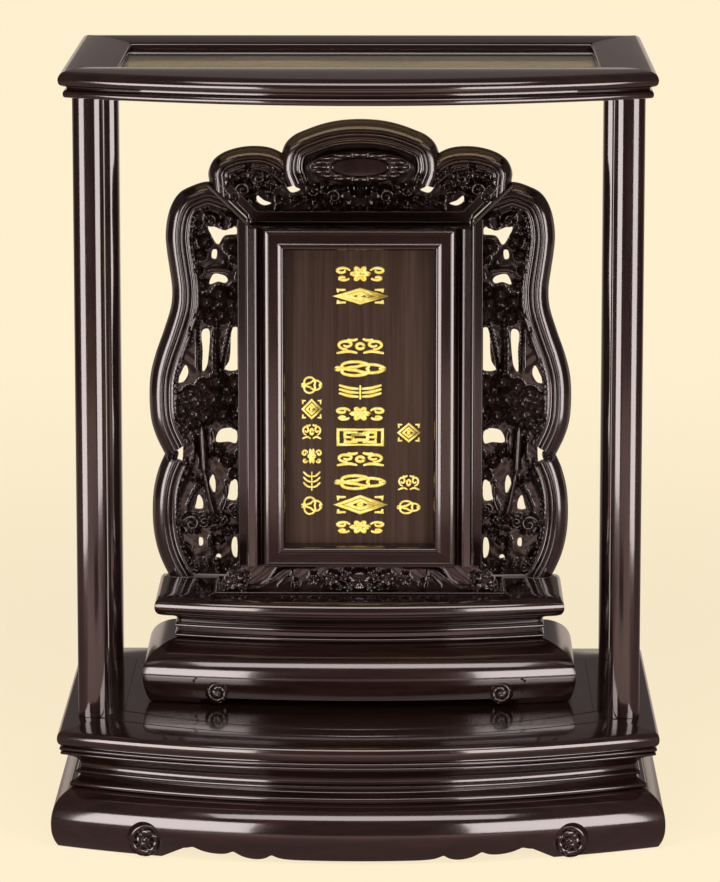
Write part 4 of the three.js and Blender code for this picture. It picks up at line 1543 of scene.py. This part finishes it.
@dataclass
class Crest:
    """The crest: a tall middle lobe between two lower ones, scrolled leaves, and a bare oval panel."""

    back: float = 48.0
    foot: float = 476.6
    mitre_in: tuple[float, float] = (90.0, 476.6)
    mitre_out: tuple[float, float] = (124.0, 509.6)
    pitch: float = 0.72
    ground: float = 4.0
    oval_at: tuple[float, float] = (0.0, 523.0)
    oval_reach: tuple[float, float] = (44.0, 13.4)
    oval_back: float = 34.6
    bead_pitch: float = 6.5

    def _side_edge(self) -> Array:
        """The outline of the right-hand lobe, from below the mitre to behind the middle lobe."""
        return spline([
            (123, 496), (124, 509), (124.6, 517), (121, 526), (114, 532), (102, 536.6), (88, 538.4),
            (74, 537), (63, 532), (52, 523),
        ], 9)

    def _middle_edge(self) -> Array:
        """The outline of the middle lobe, from its right-hand foot over the top to the other one."""
        half = [
            (61, 505), (65.5, 518), (64.6, 532), (61, 541), (54, 547.5), (44, 552), (32, 556.3), (18, 559.4),
        ]
        return spline([*half, (0, 560.6), *[(-x, z) for x, z in half[::-1]]], 9)

    def _openings(self) -> list[Array]:
        """The four holes.

        Returns:
            A closed line for each.
        """
        holes = (
            [(49, 503), (53, 505), (56, 510), (59.5, 513), (61.5, 509), (60, 504), (56, 500)],
            [(73, 491.5), (79, 494), (84.5, 498), (84.5, 493), (79, 489.5)],
        )
        right = [spline(hole, 5, closed=True) for hole in holes]
        return right + [(hole * (-1.0, 1.0))[::-1] for hole in right]

    def _carve(self, x: Array, z: Array) -> Array:
        """The carving: leaf scrolls between flat bands, a row of beads and a fluted shell in the middle.

        Args:
            x: Distances from the middle.
            z: Heights.

        Returns:
            The height above the board's back.
        """
        x = np.abs(x)
        relief = Relief(x, z, self.ground, self.ground - 1.0)
        high = 14.5
        for px, pz, radius, hand in (
            (96, 503.5, 7.5, 1), (103.5, 497.5, 5, -1), (83.5, 513.5, 7.5, 1), (72, 507, 6, -1),
            (88, 495.5, 4.5, 1), (49, 511.5, 5, 1), (38, 503, 6, -1), (21.5, 498, 7.5, 1),
            (34.5, 492, 4.5, -1), (66, 494, 4.5, 1), (53, 494, 4.5, 1), (106, 509, 4.5, 1),
            (91, 521, 5, 1), (66, 517, 5, -1), (45, 495, 4.5, 1), (29, 506, 4.5, -1), (12.5, 492, 4, 1),
            (73, 520, 4, 1), (100, 515, 4, 1),
            (74.5, 500, 3.5, 1), (12, 505, 4, -1), (59, 518, 4, 1),
        ):
            relief.curl(px, pz, radius, high, hand)
        for points, width in (
            ([(110, 505), (102, 513.5), (90, 518.5), (78.5, 517)], 3.4),
            ([(90.5, 498.5), (80.5, 503.5), (69, 503.5)], 3.4),
            ([(70, 487), (66.5, 492), (59, 496)], 3.4),
            ([(52.5, 490.5), (44.5, 495.5), (34.5, 496)], 3.4),
            ([(49, 517), (44.5, 508), (36, 504)], 3.4),
            ([(26, 491), (20, 489), (11, 490)], 3.0),
        ):
            relief.stem(points, width, high + 0.8)
        for start, end, width in (
            ((104, 512), (112, 508), 5), ((96, 512), (88, 506), 5), ((80, 508), (76, 514), 4.5),
            ((66, 503), (70, 510), 5), ((58, 496), (50, 499), 5), ((44, 501), (40, 509), 5),
            ((30, 497), (38, 498), 5), ((16, 504), (24, 506), 5), ((100, 520), (106, 514), 4.5),
        ):
            relief.leaf(start, end, width, high)
        for flute in (-8.4, -4.2, 0.0, 4.2, 8.4):
            foot, head = abs(flute), abs(flute * 1.25)
            relief.stem([(foot, 495 + foot * 0.4), (head, 508)], 3.6, high + 1.0)
        for bead in range(7):
            relief.blossom(self.bead_pitch * bead, 487.6, 2.9, 12.6, 6)
        level = self.foot + 5.4
        relief.band((0, level), (self.mitre_in[0] - 2, level), 9.4, 11.6)
        slope = (self.mitre_in[0] - 5, self.foot + 4.4), (self.mitre_out[0] - 9, self.mitre_out[1] + 2.4)
        relief.band(*slope, 9.0, 11.6)
        return relief.height

    def _board(self, form: Form) -> None:
        """The board behind the mouldings.

        Args:
            form: The form to add it to.
        """
        side = beside(self._side_edge(), np.array([5.0]), 1)[:, 0]
        middle = beside(self._middle_edge(), np.array([5.0]), 1)[:, 0]
        side = side[(side[:, 0] > 62) & (side[:, 1] > 511)][::4]
        middle = middle[(np.abs(middle[:, 0]) < 59) & (middle[:, 1] > 530)][::4]
        right = np.vstack([[(self.mitre_in[0] - 0.2, self.foot + 0.1), (119.2, 504.8)], side])
        outline = np.vstack([right, middle, (right * (-1.0, 1.0))[::-1]])
        PiercedBoard(outline, self._openings(), self.back, self.pitch).add_to(form, self._carve)

    def _mouldings(self, form: Form) -> None:
        """The moulded edges: the side lobes' end behind the middle one's.

        Args:
            form: The form to add them to.
        """
        insets, rises = WING_EDGE[:, 0] * 0.84, WING_EDGE[:, 1]
        mitre = np.array(self.mitre_in), np.array(self.mitre_out)
        side = trimmed(beside(self._side_edge(), insets, 1), *mitre)
        run_moulding(form, side, rises, self.back)
        run_moulding(form, side * (-1.0, 1.0), rises, self.back)
        run_moulding(form, beside(self._middle_edge(), insets, 1), rises + 2.2, self.back)

    def _oval(self) -> None:
        """The oval: a thin rim, a sunk ring, round petals and a bare panel, over a grid of polar shares."""
        share = np.concatenate([np.linspace(0.02, 0.9, 56), np.linspace(0.9, 1.0, 13)[1:]])[:, None]
        turn = np.linspace(0.0, 2 * np.pi, 240, endpoint=False)[None, :]
        ring = np.exp(-(((share - 0.965) / 0.02) ** 2))
        collar = np.exp(-(((share - 0.585) / 0.022) ** 2))
        lobes = np.abs(np.cos(turn * 8)) ** 0.55
        petal = np.sqrt(np.clip(1 - ((share - 0.75) / 0.15) ** 2, 0.0, 1.0)) * lobes
        panel = 1.5 * (1 - np.clip((share - 0.52) / 0.03, 0.0, 1.0)) * (1 + 0.5 * (1 - share**2))
        rise = 0.8 + np.maximum(np.maximum(3.2 * ring, 1.7 * collar), np.maximum(2.9 * petal, panel))
        x = self.oval_at[0] + self.oval_reach[0] * share * np.cos(turn)
        z = self.oval_at[1] + self.oval_reach[1] * share * np.sin(turn)
        front = np.stack([x, self.oval_back - 1.2 - rise, z], -1)
        form = Form()
        grid = np.vstack([front, front[-1:] * (1.0, 0.0, 1.0) + (0.0, self.oval_back, 0.0)])
        form.bar(grid)
        form.piece("crest_oval_carved", LACQUER_CARVED, Body.TABLET, "crest_medallion", crease=50.0)

    def build(self) -> None:
        """Makes the crest and its oval."""
        form = Form()
        self._board(form)
        self._mouldings(form)
        form.piece("crest_carved", LACQUER_CARVED, Body.TABLET, "crest_board", crease=70.0)
        self._oval()


@dataclass
class Frame:
    """The picture frame: mitred mouldings round the plaque, and an upright pilaster on each side of them."""

    half_width: float = 90.0
    pilaster: float = 12.5
    foot: float = 202.2
    top: float = 480.3
    back: float = -13.0
    gap: float = 0.08
    side_width: float = 16.5
    plaque_face: float = -16.7
    plaque_lap: float = 4.7
    plaque_thickness: float = 6.0

    def _moulding(self) -> Array:
        """The moulding's [inwards, forwards] section: a roll, a flat, a roll and the rebate."""
        return np.vstack([
            profile(
                [(0, 0), (0, 16.6)],
                [(0.1, 17.1), (0.5, 17.6), (1.2, 18.0), (2.2, 18.4), (3.1, 18.62), (3.8, 18.66), (4.2, 18.4)],
                [(4.4, 18.2), (4.6, 18.2)],
                [(10.7, 18.25), (10.9, 18.25)],
                [(11.2, 18.5), (12.0, 18.85), (13.2, 19.25), (14.2, 19.4), (15.0, 19.3), (15.9, 18.7),
                 (16.9, 17.0)],
                per=4,
            ),
            [(17.5, 15.0), (17.5, 4.0), (11.5, 4.0), (11.5, 0.0)],
        ])

    def _pilaster(self) -> Array:
        """The pilaster's section: a flat face that ends in a thin bead, and a deep groove."""
        return np.vstack([
            profile(
                [(0, 0), (0, 13.4)],
                [(0.05, 13.5), (0.25, 13.52)],
                [(4.7, 13.9), (4.9, 13.92)],
                [(5.1, 14.0), (5.5, 14.2), (6.0, 14.35), (6.5, 14.25), (6.9, 13.6)],
                [(7.0, 12.6), (9.5, 6.2)],
                [(9.9, 6.2), (12.3, 12.4)],
                per=4,
            ),
            [(12.5, 13.4), (12.5, 0.0)],
        ])

    def _plaque(self) -> None:
        """The plaque: a board with eased edges, held in the frame's rebate."""
        edge = self.side_width - self.plaque_lap
        half = self.half_width - self.pilaster - edge
        low, high = self.foot + edge, self.top - edge
        corners = np.array([(-1, -1), (1, -1), (1, 1), (-1, 1)])
        sides = [corners[turn] * (1 - way) + corners[(turn + 1) % 4] * way
                 for turn in range(4) for way in (0.0, 0.25, 0.5, 0.75)]
        around = np.array(sides)[None]
        inset = np.array((0.0, 0.0, 0.1, 0.4, 0.9))[:, None]
        depth = self.plaque_face + np.array((self.plaque_thickness, 0.9, 0.4, 0.1, 0.0))[:, None]
        x = around[..., 0] * (half - inset)
        z = (low + high) / 2 + around[..., 1] * ((high - low) / 2 - inset)
        form = Form()
        form.bar(np.stack([x, depth + 0 * x, z], -1))
        form.piece("plaque", PLAQUE_WOOD, Body.TABLET, "plaque_board")

    def build(self) -> None:
        """Makes the four sides, mitred at the corners, and the plaque."""
        section = self._moulding()
        inwards, depth = section[:, 0], self.back - section[:, 1]
        across = self.half_width - self.pilaster - inwards
        low, high = self.foot + inwards, self.top - inwards
        strip = self._pilaster()
        for node, z in (("frame_bottom", low), ("frame_top", high)):
            form = Form()
            form.bar(np.stack([np.stack([x, depth, z], -1) for x in (-across + self.gap, across - self.gap)]))
            form.piece(f"{node}_moulded", LACQUER, Body.TABLET, node, crease=15.0)
        form = Form()
        form.bar(np.stack([np.stack([across, depth, z], -1) for z in (low + self.gap, high - self.gap)]))
        outer = self.half_width - strip[:, 0]
        form.bar(np.stack([
            np.stack([outer, self.back - strip[:, 1], z + 0 * outer], -1) for z in (self.foot, self.top)
        ]))
        form.pair("frame_*_moulded", LACQUER_UPRIGHT, Body.TABLET, "frame_*", 15.0)
        self._plaque()


@dataclass
class Base:
    """What the frame stands on: a moulded sill and, in front, a carved frieze."""

    sill_half_width: float = 118.0
    sill_front: float = 29.0
    sill_back: float = 33.7
    sill_foot: float = 179.6
    sill_top: float = 185.6
    frieze_foot: float = 181.4
    frieze_top: float = 201.8
    frieze_back: float = -18.0
    frieze_ground: float = 0.9
    pitch: float = 0.6

    def _sill(self) -> None:
        """The sill: a thin half-round edge under the frieze, and a set-back body behind it."""
        foot, top = self.sill_foot, self.sill_top
        outer = profile(
            [(-0.9, 0.0), (-0.2, 0.4), (0.0, 0.8), (-0.2, 1.2), (-0.9, 1.6)],
            [(-11.4, 1.7), (-11.5, 1.9)],
            [(-11.5, 5.8), (-11.6, top - foot)],
            foot=foot,
        )
        plan = Plan(self.sill_half_width, self.sill_front, self.sill_back)
        form = moulded_block(outer, plan, PLATE_CORE)
        form.piece("sill_moulded", LACQUER, Body.TABLET, "sill_board")

    def _carve(self, x: Array, z: Array) -> Array:
        """The frieze: a flower in the middle, scrolls beside it, long leaf stems and flowers at each end.

        Args:
            x: Distances from the middle.
            z: Heights.

        Returns:
            The height above the board's back.
        """
        x = np.abs(x)
        relief = Relief(x, z, self.frieze_ground, 2.0)
        high = 10.5
        relief.blossom(0, 190.5, 9.4, high + 1.0, 5)
        for px, pz, radius, petals in (
            (10.5, 195, 5.8, 5), (9, 184.6, 4.6, 5), (22.5, 191.8, 7.2, 5), (37.5, 191, 6, 6),
            (102.5, 189, 8, 5), (110, 184.8, 4.4, 5), (95.5, 184.4, 4.6, 5), (101.5, 197, 4.8, 5),
            (93, 192.5, 4.6, 5),
        ):
            relief.blossom(px, pz, radius, high, petals)
        relief.curl(52, 186.6, 4.4, high)
        relief.curl(15.5, 185, 3.4, high, -1)
        for points, width in (
            ([(95.5, 184), (82, 184.9), (71.5, 191.6), (63.5, 198.2), (54.5, 200.6), (36, 200.6)], 3.0),
            ([(67, 184.6), (60.5, 191), (56, 193.6)], 2.8),
            ([(54, 198), (56, 192.6), (53, 187.5)], 2.6),
            ([(85, 184.4), (77, 187.4), (70.5, 195.8), (66, 202)], 2.2),
            ([(31, 184), (26, 184.2), (17, 183.2)], 2.2),
        ):
            relief.stem(points, width, high - 0.4)
        return relief.height

    def _frieze(self) -> None:
        """The frieze board."""
        half, foot, top = self.sill_half_width, self.frieze_foot, self.frieze_top
        right = [(half - 4, foot), (half - 5, foot + 7), (half - 9, foot + 13.5), (half - 15, foot + 18),
                 (half - 24, foot + 20.2), (90.0, top)]
        outline = np.array([*[(-x, z) for x, z in right[::-1]], *right])
        form = Form()
        PiercedBoard(outline, [], self.frieze_back, self.pitch).add_to(form, self._carve)
        form.piece("frieze_carved", LACQUER_CARVED, Body.TABLET, "frieze_board", crease=70.0)

    def build(self) -> None:
        """Makes both."""
        self._sill()
        self._frieze()


class Motif(Enum):
    """The ornaments of the plaque."""

    ROSETTE = "rosette"
    KNOT = "knot"
    LOZENGES = "lozenges"
    CLOUDS = "clouds"
    SPRAY = "spray"
    FRET = "fret"


@dataclass
class GiltOrnament:
    """Three upright rows of raised gold ornament on the plaque: half-round ribbons along smooth lines."""

    face: float = -16.7
    rise: float = 1.5
    sunk: float = 0.3

    def _spiral(self, x: float, z: float, size: float, start: float, turns: float) -> Array:
        """A spiral whose radius falls evenly to 0.28 of its size over its turns.

        Args:
            x: Its middle.
            z: Its middle's height.
            size: Its radius at the start.
            start: The angle at which it starts.
            turns: How many turns it makes, below 0 for the other way round.

        Returns:
            Its points.
        """
        t = np.linspace(0.0, 1.0, 26)
        angle = start + 2 * np.pi * turns * t
        radius = size * (1 - 0.72 * t)
        return np.stack([x + radius * np.cos(angle), z + radius * np.sin(angle)], -1)

    def _loop(self, size: float, swing: float, lobes: int, x: float = 0.0, z: float = 0.0) -> Array:
        """A closed flower line: a circle whose radius swings with a cosine of the lobes' angle.

        Args:
            size: Its greatest radius.
            swing: How much of that the radius swings each way.
            lobes: How many lobes it has.
            x: Its middle.
            z: Its middle's height.

        Returns:
            Its points.
        """
        angle = np.linspace(0.0, 2 * np.pi, 73)
        radius = size * (1 - swing + swing * np.cos(lobes * angle))
        return np.stack([x + radius * np.cos(angle), z + radius * np.sin(angle)], -1)

    def _lines(self, motif: Motif) -> list[Array]:
        """A motif's lines in a cell two wide and two high.

        Args:
            motif: Which one.

        Returns:
            The lines' points.
        """
        angle = np.linspace(0.0, 2 * np.pi, 97)
        pairs: list[Array] = []
        middle: list[Array] = []
        if motif is Motif.ROSETTE:
            middle = [self._loop(0.36, 0.28, 6) * (1.0, 2.2), self._loop(0.1, 0.0, 1) * (1.0, 2.2)]
            pairs = [self._spiral(0.72, 0.25, 0.3, np.pi, -1.1) * (1.0, 1.3),
                     self._spiral(0.68, -0.45, 0.24, np.pi, 1.0) * (1.0, 1.1)]
        elif motif is Motif.KNOT:
            reach = 0.62 + 0.34 * np.cos(3 * angle)
            middle = [np.stack([reach * np.cos(2 * angle), reach * np.sin(2 * angle) * 0.98], -1)]
            pairs = [self._loop(0.09, 0.0, 1, 0.9, 0.0) * (1.0, 1.9)]
        elif motif is Motif.LOZENGES:
            corners = np.array([(1.0, 0.0), (0.0, 1.0), (-1.0, 0.0), (0.0, -1.0), (1.0, 0.0)])
            middle = [corners * 0.92, corners * 0.5, self._loop(0.08, 0.0, 1) * (1.0, 2.2)]
            hook = np.array([(0.58, 0.86), (0.9, 0.86), (0.9, 0.5)])
            pairs = [hook, hook * (1.0, -1.0)]
        elif motif is Motif.CLOUDS:
            middle = [self._loop(0.15, 0.0, 1) * (1.0, 2.2)]
            pairs = [self._spiral(0.56, 0.12, 0.36, -1.7, 1.25) * (1.0, 1.6),
                     spline([(0.12, -0.82), (0.45, -0.62), (0.95, -0.84)], 8),
                     spline([(0.1, 0.86), (0.3, 0.7), (0.52, 0.8)], 8)]
        elif motif is Motif.SPRAY:
            middle = [np.array([(0.0, -0.95), (0.0, 0.95)])]
            for level in (-0.62, -0.08, 0.46):
                pairs.append(spline([(0.06, level), (0.42, level + 0.1), (0.86, level + 0.5)], 8))
        else:
            middle = [np.array([(-0.3, 0.34), (0.3, 0.34), (0.3, -0.34), (-0.3, -0.34), (-0.3, 0.34)])]
            pairs = [np.array([(0.0, 0.9), (0.9, 0.9), (0.9, -0.9), (0.0, -0.9)]),
                     np.array([(0.3, 0.0), (0.62, 0.0), (0.62, 0.56), (0.1, 0.56)]),
                     np.array([(0.62, -0.2), (0.62, -0.58), (0.1, -0.58)])]
        return middle + pairs + [line * (-1.0, 1.0) for line in pairs]

    def _ribbon(self, form: Form, line: Array, width: float) -> None:
        """A half-round ribbon that eases to three fifths at both ends, or is even where its line is closed.

        Args:
            form: The form to add it to.
            line: Its middle line, as X and Z.
            width: Its full width.
        """
        lengths = np.concatenate([[0.0], np.cumsum(np.linalg.norm(np.diff(line, axis=0), axis=1))])
        count = max(8, int(lengths[-1] / 0.8))
        closed = bool(np.allclose(line[0], line[-1]))
        if len(line) > 12:
            way = np.linspace(0.0, lengths[-1], count)
            line = np.stack([np.interp(way, lengths, line[:, axis]) for axis in (0, 1)], -1)
        if closed:
            line = np.vstack([line[-2:-1], line, line[1:2]])
        arch = np.linspace(0.0, np.pi, 7)
        across = -np.cos(arch) * width / 2
        rows = beside(line, across, 1)
        rise = self.rise * (width / 2.4) * np.sin(arch)[None, :] ** 0.7 + 0 * rows[..., 0]
        if closed:
            rows, rise = rows[1:-1], rise[1:-1]
        else:
            ease = np.sin(np.pi * np.linspace(0.06, 0.94, len(line)))[:, None] ** 0.3
            rows = line[:, None] + (rows - line[:, None]) * ease[..., None]
            rise = rise * ease
        front = np.stack([rows[..., 0], self.face - rise, rows[..., 1]], -1)
        floor = front[:, [-1, 0]] * (1.0, 0.0, 1.0) + (0.0, self.face + self.sunk, 0.0)
        form.bar(np.hstack([front, floor]))

    def _row(
        self,
        name: str,
        across: tuple[float, float],
        cells: Sequence[tuple[Motif, float, float]],
        width: float,
    ) -> None:
        """One upright row of ornaments.

        Args:
            name: The piece's name.
            across: The row's left and right edge.
            cells: Each ornament with the top and foot of its place.
            width: The ribbons' width.
        """
        form = Form()
        middle, reach = sum(across) / 2, (across[1] - across[0] - width) / 2
        for motif, top, foot in cells:
            scale = np.array((reach, (top - foot - width) / 2))
            for line in self._lines(motif):
                self._ribbon(form, line * scale + (middle, (top + foot) / 2), width)
        form.piece(name, GILDING, Body.TABLET, crease=70.0)

    def build(self) -> None:
        """Makes the three rows."""
        self._row("gilt_row_middle", (-21.0, 22.0), (
            (Motif.ROSETTE, 451.0, 433.8), (Motif.LOZENGES, 431.4, 416.6), (Motif.CLOUDS, 391.1, 374.7),
            (Motif.KNOT, 372.2, 356.6), (Motif.SPRAY, 352.4, 337.6), (Motif.ROSETTE, 335.1, 319.4),
            (Motif.FRET, 316.1, 299.5), (Motif.CLOUDS, 297.0, 282.1), (Motif.KNOT, 277.9, 263.0),
            (Motif.LOZENGES, 260.5, 243.0), (Motif.ROSETTE, 240.5, 225.8),
        ), 2.7)
        self._row("gilt_row_left", (-48.0, -30.0), (
            (Motif.KNOT, 359.0, 342.5), (Motif.LOZENGES, 340.0, 321.8), (Motif.CLOUDS, 320.1, 304.4),
            (Motif.ROSETTE, 300.3, 283.7), (Motif.SPRAY, 280.3, 262.1), (Motif.KNOT, 259.6, 242.1),
        ), 1.8)
        self._row("gilt_row_right", (30.0, 50.0), (
            (Motif.LOZENGES, 320.3, 302.9), (Motif.CLOUDS, 278.0, 262.2), (Motif.KNOT, 256.4, 243.0),
        ), 1.8)


# The studio


@dataclass(frozen=True)
class Softbox:
    """A rectangular lamp that faces the shrine."""

    name: str
    place: Colour
    size: tuple[float, float]
    radiance: float

    def light(self, target: Colour) -> None:
        """Sets the lamp up: its power is its radiance times pi times its area.

        Args:
            target: The point that it faces, in metres.
        """
        data = bpy.data.lights.new(self.name, "AREA")
        data.shape = "RECTANGLE"
        data.size, data.size_y = self.size
        data.energy = self.radiance * math.pi * self.size[0] * self.size[1]
        lamp = bpy.data.objects.new(self.name, data)
        lamp.location = self.place
        toward = np.array(target) - np.array(self.place)
        level = math.hypot(toward[0], toward[1])
        lamp.rotation_euler = (math.atan2(level, -toward[2]), 0.0, math.atan2(-toward[0], toward[1]))
        bpy.context.scene.collection.objects.link(lamp)


@dataclass
class Studio:
    """The camera at the photograph's angle, soft lamps and a pale surrounding."""

    azimuth: float = math.radians(0.52)
    elevation: float = math.radians(10.52)
    distance: float = 4.0
    target: Colour = (0.00017, 0.027, 0.3015)
    focal_px: float = 4889.1
    image_long_px: float = 882.0
    sensor_mm: float = 36.0
    cream: Colour = (1.0, 0.871, 0.624)
    ceiling: Colour = (0.125, 0.1, 0.095)
    room: Colour = (0.08, 0.062, 0.058)
    behind: Colour = (0.62, 0.52, 0.45)
    # Painted light and shade on the floor, seen only in reflections: shade is a painted shadow near the
    # shrine and to the sides of the lit area, and table a painted pool of light in front of the shrine
    shade: Colour = (0.3, 0.225, 0.21)
    lit_table: Colour = (0.98, 0.74, 0.68)
    # A dark strip painted on the floor for reflections, named stand though nothing stands there: it stands in
    # for shade in the carved frieze's ground
    stand: Colour = (0.05, 0.03, 0.026)
    floor_radius: float = 2.4
    floor_lit: float = 0.15
    floor_glow: float = 0.88
    seen_fade: tuple[float, float] = (0.7, 2.3)
    mirrored_fade: tuple[float, float] = (1.95, 2.39)
    ceiling_rise: tuple[float, float] = (0.045, 0.105)
    behind_rise: tuple[float, float] = (0.15, 0.5)
    behind_floor: tuple[float, float] = (0.05, 0.6)
    # How far ahead the painted shadow near the shrine gives way to the painted pool of light, and how far to
    # each side that light reaches
    lit_table_near: tuple[float, float] = (0.2, 0.6)
    lit_table_side: tuple[float, float] = (0.3, 0.5)
    # How far ahead the painted dark strip begins and ends, and how far to each side it reaches
    dark_strip_near: tuple[float, float] = (0.83, 0.87)
    dark_strip_far: tuple[float, float] = (1.14, 1.24)
    dark_strip_side: tuple[float, float] = (0.225, 0.248)

    def build(self) -> None:
        """Makes the camera first, then the surrounding, the floor and the lamps."""
        self._camera()
        self._world()
        self._floor()
        for softbox in (
            Softbox("softbox_left", (-0.62, -0.88, 0.3), (0.58, 0.52), 8.0),
            Softbox("softbox_right", (0.62, -0.88, 0.3), (0.58, 0.52), 7.6),
            Softbox("softbox_above", (0.0, -1.05, 1.5), (1.5, 0.55), 5.2),
        ):
            softbox.light(self.target)
        bpy.context.scene.view_settings.view_transform = "Standard"

    def _camera(self) -> None:
        """Looks at the shrine's middle from the fitted distance and angles."""
        data = bpy.data.cameras.new("camera")
        data.sensor_width = self.sensor_mm
        data.sensor_fit = "AUTO"
        data.lens = self.focal_px / self.image_long_px * self.sensor_mm
        data.clip_end = 100.0
        camera = bpy.data.objects.new("camera", data)
        bpy.context.scene.collection.objects.link(camera)
        level = math.cos(self.elevation)
        back = (math.sin(self.azimuth) * level, -math.cos(self.azimuth) * level, math.sin(self.elevation))
        camera.location = [at + self.distance * step for at, step in zip(self.target, back)]
        camera.rotation_euler = (math.pi / 2 - self.elevation, 0.0, self.azimuth)
        bpy.context.scene.camera = camera

    @staticmethod
    def _straight(shader: Shader) -> Value:
        """1 where the camera looks, also through glass, and 0 for every other ray."""
        path = shader.node("ShaderNodeLightPath").outputs
        return Value(shader, path["Is Camera Ray"]) + Value(shader, path["Is Transmission Ray"])

    def _world(self) -> None:
        """A pale surrounding behind the shrine, and a dim room in front of it, over it and beside it."""
        world = bpy.data.worlds.new("surrounding")
        world.use_nodes = True
        bpy.context.scene.world = world
        shader = Shader(world.node_tree)
        direction = shader.node("ShaderNodeTexCoord").outputs["Generated"]
        split = shader.node("ShaderNodeSeparateXYZ", Vector=direction)
        up, deep = Value(shader, split.outputs["Z"]), Value(shader, split.outputs["Y"])
        level = shader.blend(deep.rise(*self.behind_rise), self.room, self.behind)
        around = shader.blend(up.rise(*self.ceiling_rise), level, self.ceiling)
        colour = shader.blend(self._straight(shader), around, self.cream)
        background = shader.node("ShaderNodeBackground", Color=colour, Strength=1.0)
        shader.node("ShaderNodeOutputWorld", Surface=background.outputs["Background"])

    def _floor(self) -> None:
        """A round floor that takes the shadow and fades into the surrounding at its rim."""
        rings, spokes = 24, 96
        share = np.linspace(0.0, 1.0, rings + 1)[1:]
        turn = np.linspace(0.0, 2 * np.pi, spokes, endpoint=False)
        reach, angle = np.meshgrid(share * self.floor_radius, turn, indexing="ij")
        points = np.stack([reach * np.cos(angle), reach * np.sin(angle), 0 * reach], -1).reshape(-1, 3)
        points = np.vstack([points, [[0.0, 0.0, 0.0]]])
        inner = np.arange((rings - 1) * spokes).reshape(rings - 1, spokes)
        next_one = np.roll(inner, -1, axis=1)
        quads = np.stack([inner, inner + spokes, next_one + spokes, next_one], -1).reshape(-1, 4)
        middle = len(points) - 1
        hub = [(middle, step, (step + 1) % spokes) for step in range(spokes)]
        mesh = bpy.data.meshes.new("floor")
        mesh.from_pydata(points.tolist(), [], quads.tolist() + hub)
        floor = bpy.data.objects.new("floor", mesh)
        bpy.context.scene.collection.objects.link(floor)
        floor.data.materials.append(self._floor_finish())

    def _floor_finish(self) -> bpy.types.Material:
        """A matt pale floor: part of its tone is lit, so it keeps the shadow, and part glows evenly.

        A reflection finds painted light and shade there: a pool of light painted in front of the shrine,
        painted shadow near the shrine and beside that pool, and a dark strip painted across it that stands in
        for shade in the carved frieze's ground.

        Returns:
            The material.
        """
        material = bpy.data.materials.new("pale_floor")
        material.use_nodes = True
        shader = Shader(material.node_tree)
        length = shader.node("ShaderNodeVectorMath", {"operation": "LENGTH"})
        shader.feed(length.inputs[0], shader.place())
        away = Value(shader, length.outputs["Value"])
        split = shader.node("ShaderNodeSeparateXYZ", Vector=shader.place())
        wide, deep = Value(shader, split.outputs["X"]).size(), Value(shader, split.outputs["Y"])
        near = 0 - deep
        # Painted light and shade for reflections: a pool of light ahead, with painted shadow near the shrine
        # and to its sides
        lit_table = shader.blend(wide.rise(*self.lit_table_side), self.lit_table, self.shade)
        front = shader.blend(near.rise(*self.lit_table_near), self.shade, lit_table)
        # A painted dark strip across that pool of light, in the colour named stand, standing in for shade in
        # the carved frieze's ground
        stand = near.rise(*self.dark_strip_near) * (1 - near.rise(*self.dark_strip_far))
        front = shader.blend(stand * (1 - wide.rise(*self.dark_strip_side)), front, self.stand)
        around = shader.blend(deep.rise(*self.behind_floor), front, self.behind)
        straight = self._straight(shader)
        tone = shader.blend(straight, around, self.cream)
        matt = shader.node(
            "ShaderNodeBsdfPrincipled",
            Base_Color=shader.blend(1.0, tone, (self.floor_lit,) * 3, "MULTIPLY"),
            Roughness=1.0,
            Specular_IOR_Level=0.0,
            Emission_Color=tone,
            Emission_Strength=self.floor_glow,
        )
        clear = shader.node("ShaderNodeBsdfTransparent")
        mix = shader.node("ShaderNodeMixShader")
        seen, mirrored = away.rise(*self.seen_fade), away.rise(*self.mirrored_fade)
        shader.feed(mix.inputs[0], straight * seen + (1 - straight) * mirrored)
        shader.feed(mix.inputs[1], matt.outputs["BSDF"])
        shader.feed(mix.inputs[2], clear.outputs["BSDF"])
        shader.node("ShaderNodeOutputMaterial", Surface=mix.outputs["Shader"])
        return material


# Assembly


# The finishes of the CAD nodes that stay as they are, by the start of their names
PLAIN_FINISHES: dict[str, Finish] = {
    "top_glass": PANE,
    "glass_bead": LACQUER,
    "floor_panel": LACQUER,
    "tablet_base": LACQUER,
    "plaque_board": PLAQUE_WOOD,
    "box_side": LACQUER_UPRIGHT,
    "box": LACQUER,
    "rear_cover": LACQUER_UPRIGHT,
    "name_slip": BARE_WOOD,
}


def dress_cad() -> None:
    """Gives the CAD nodes their finishes: those that stay as they are, and the lacquer for all others."""
    for name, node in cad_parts.items():
        found = [finish for start, finish in PLAIN_FINISHES.items() if name.startswith(start)]
        (found[0] if found else LACQUER).put_on(node)


def main() -> None:
    """Builds the scene, piece by piece."""
    logging.basicConfig(level=logging.INFO, format="%(name)s: %(message)s")
    Studio().build()
    dress_cad()
    for part in (Case(), Stand(), Base(), Frame(), Wing(), Crest(), GiltOrnament()):
        part.build()
        log.info("%s done", type(part).__name__)


if __name__ == "__main__":
    main()
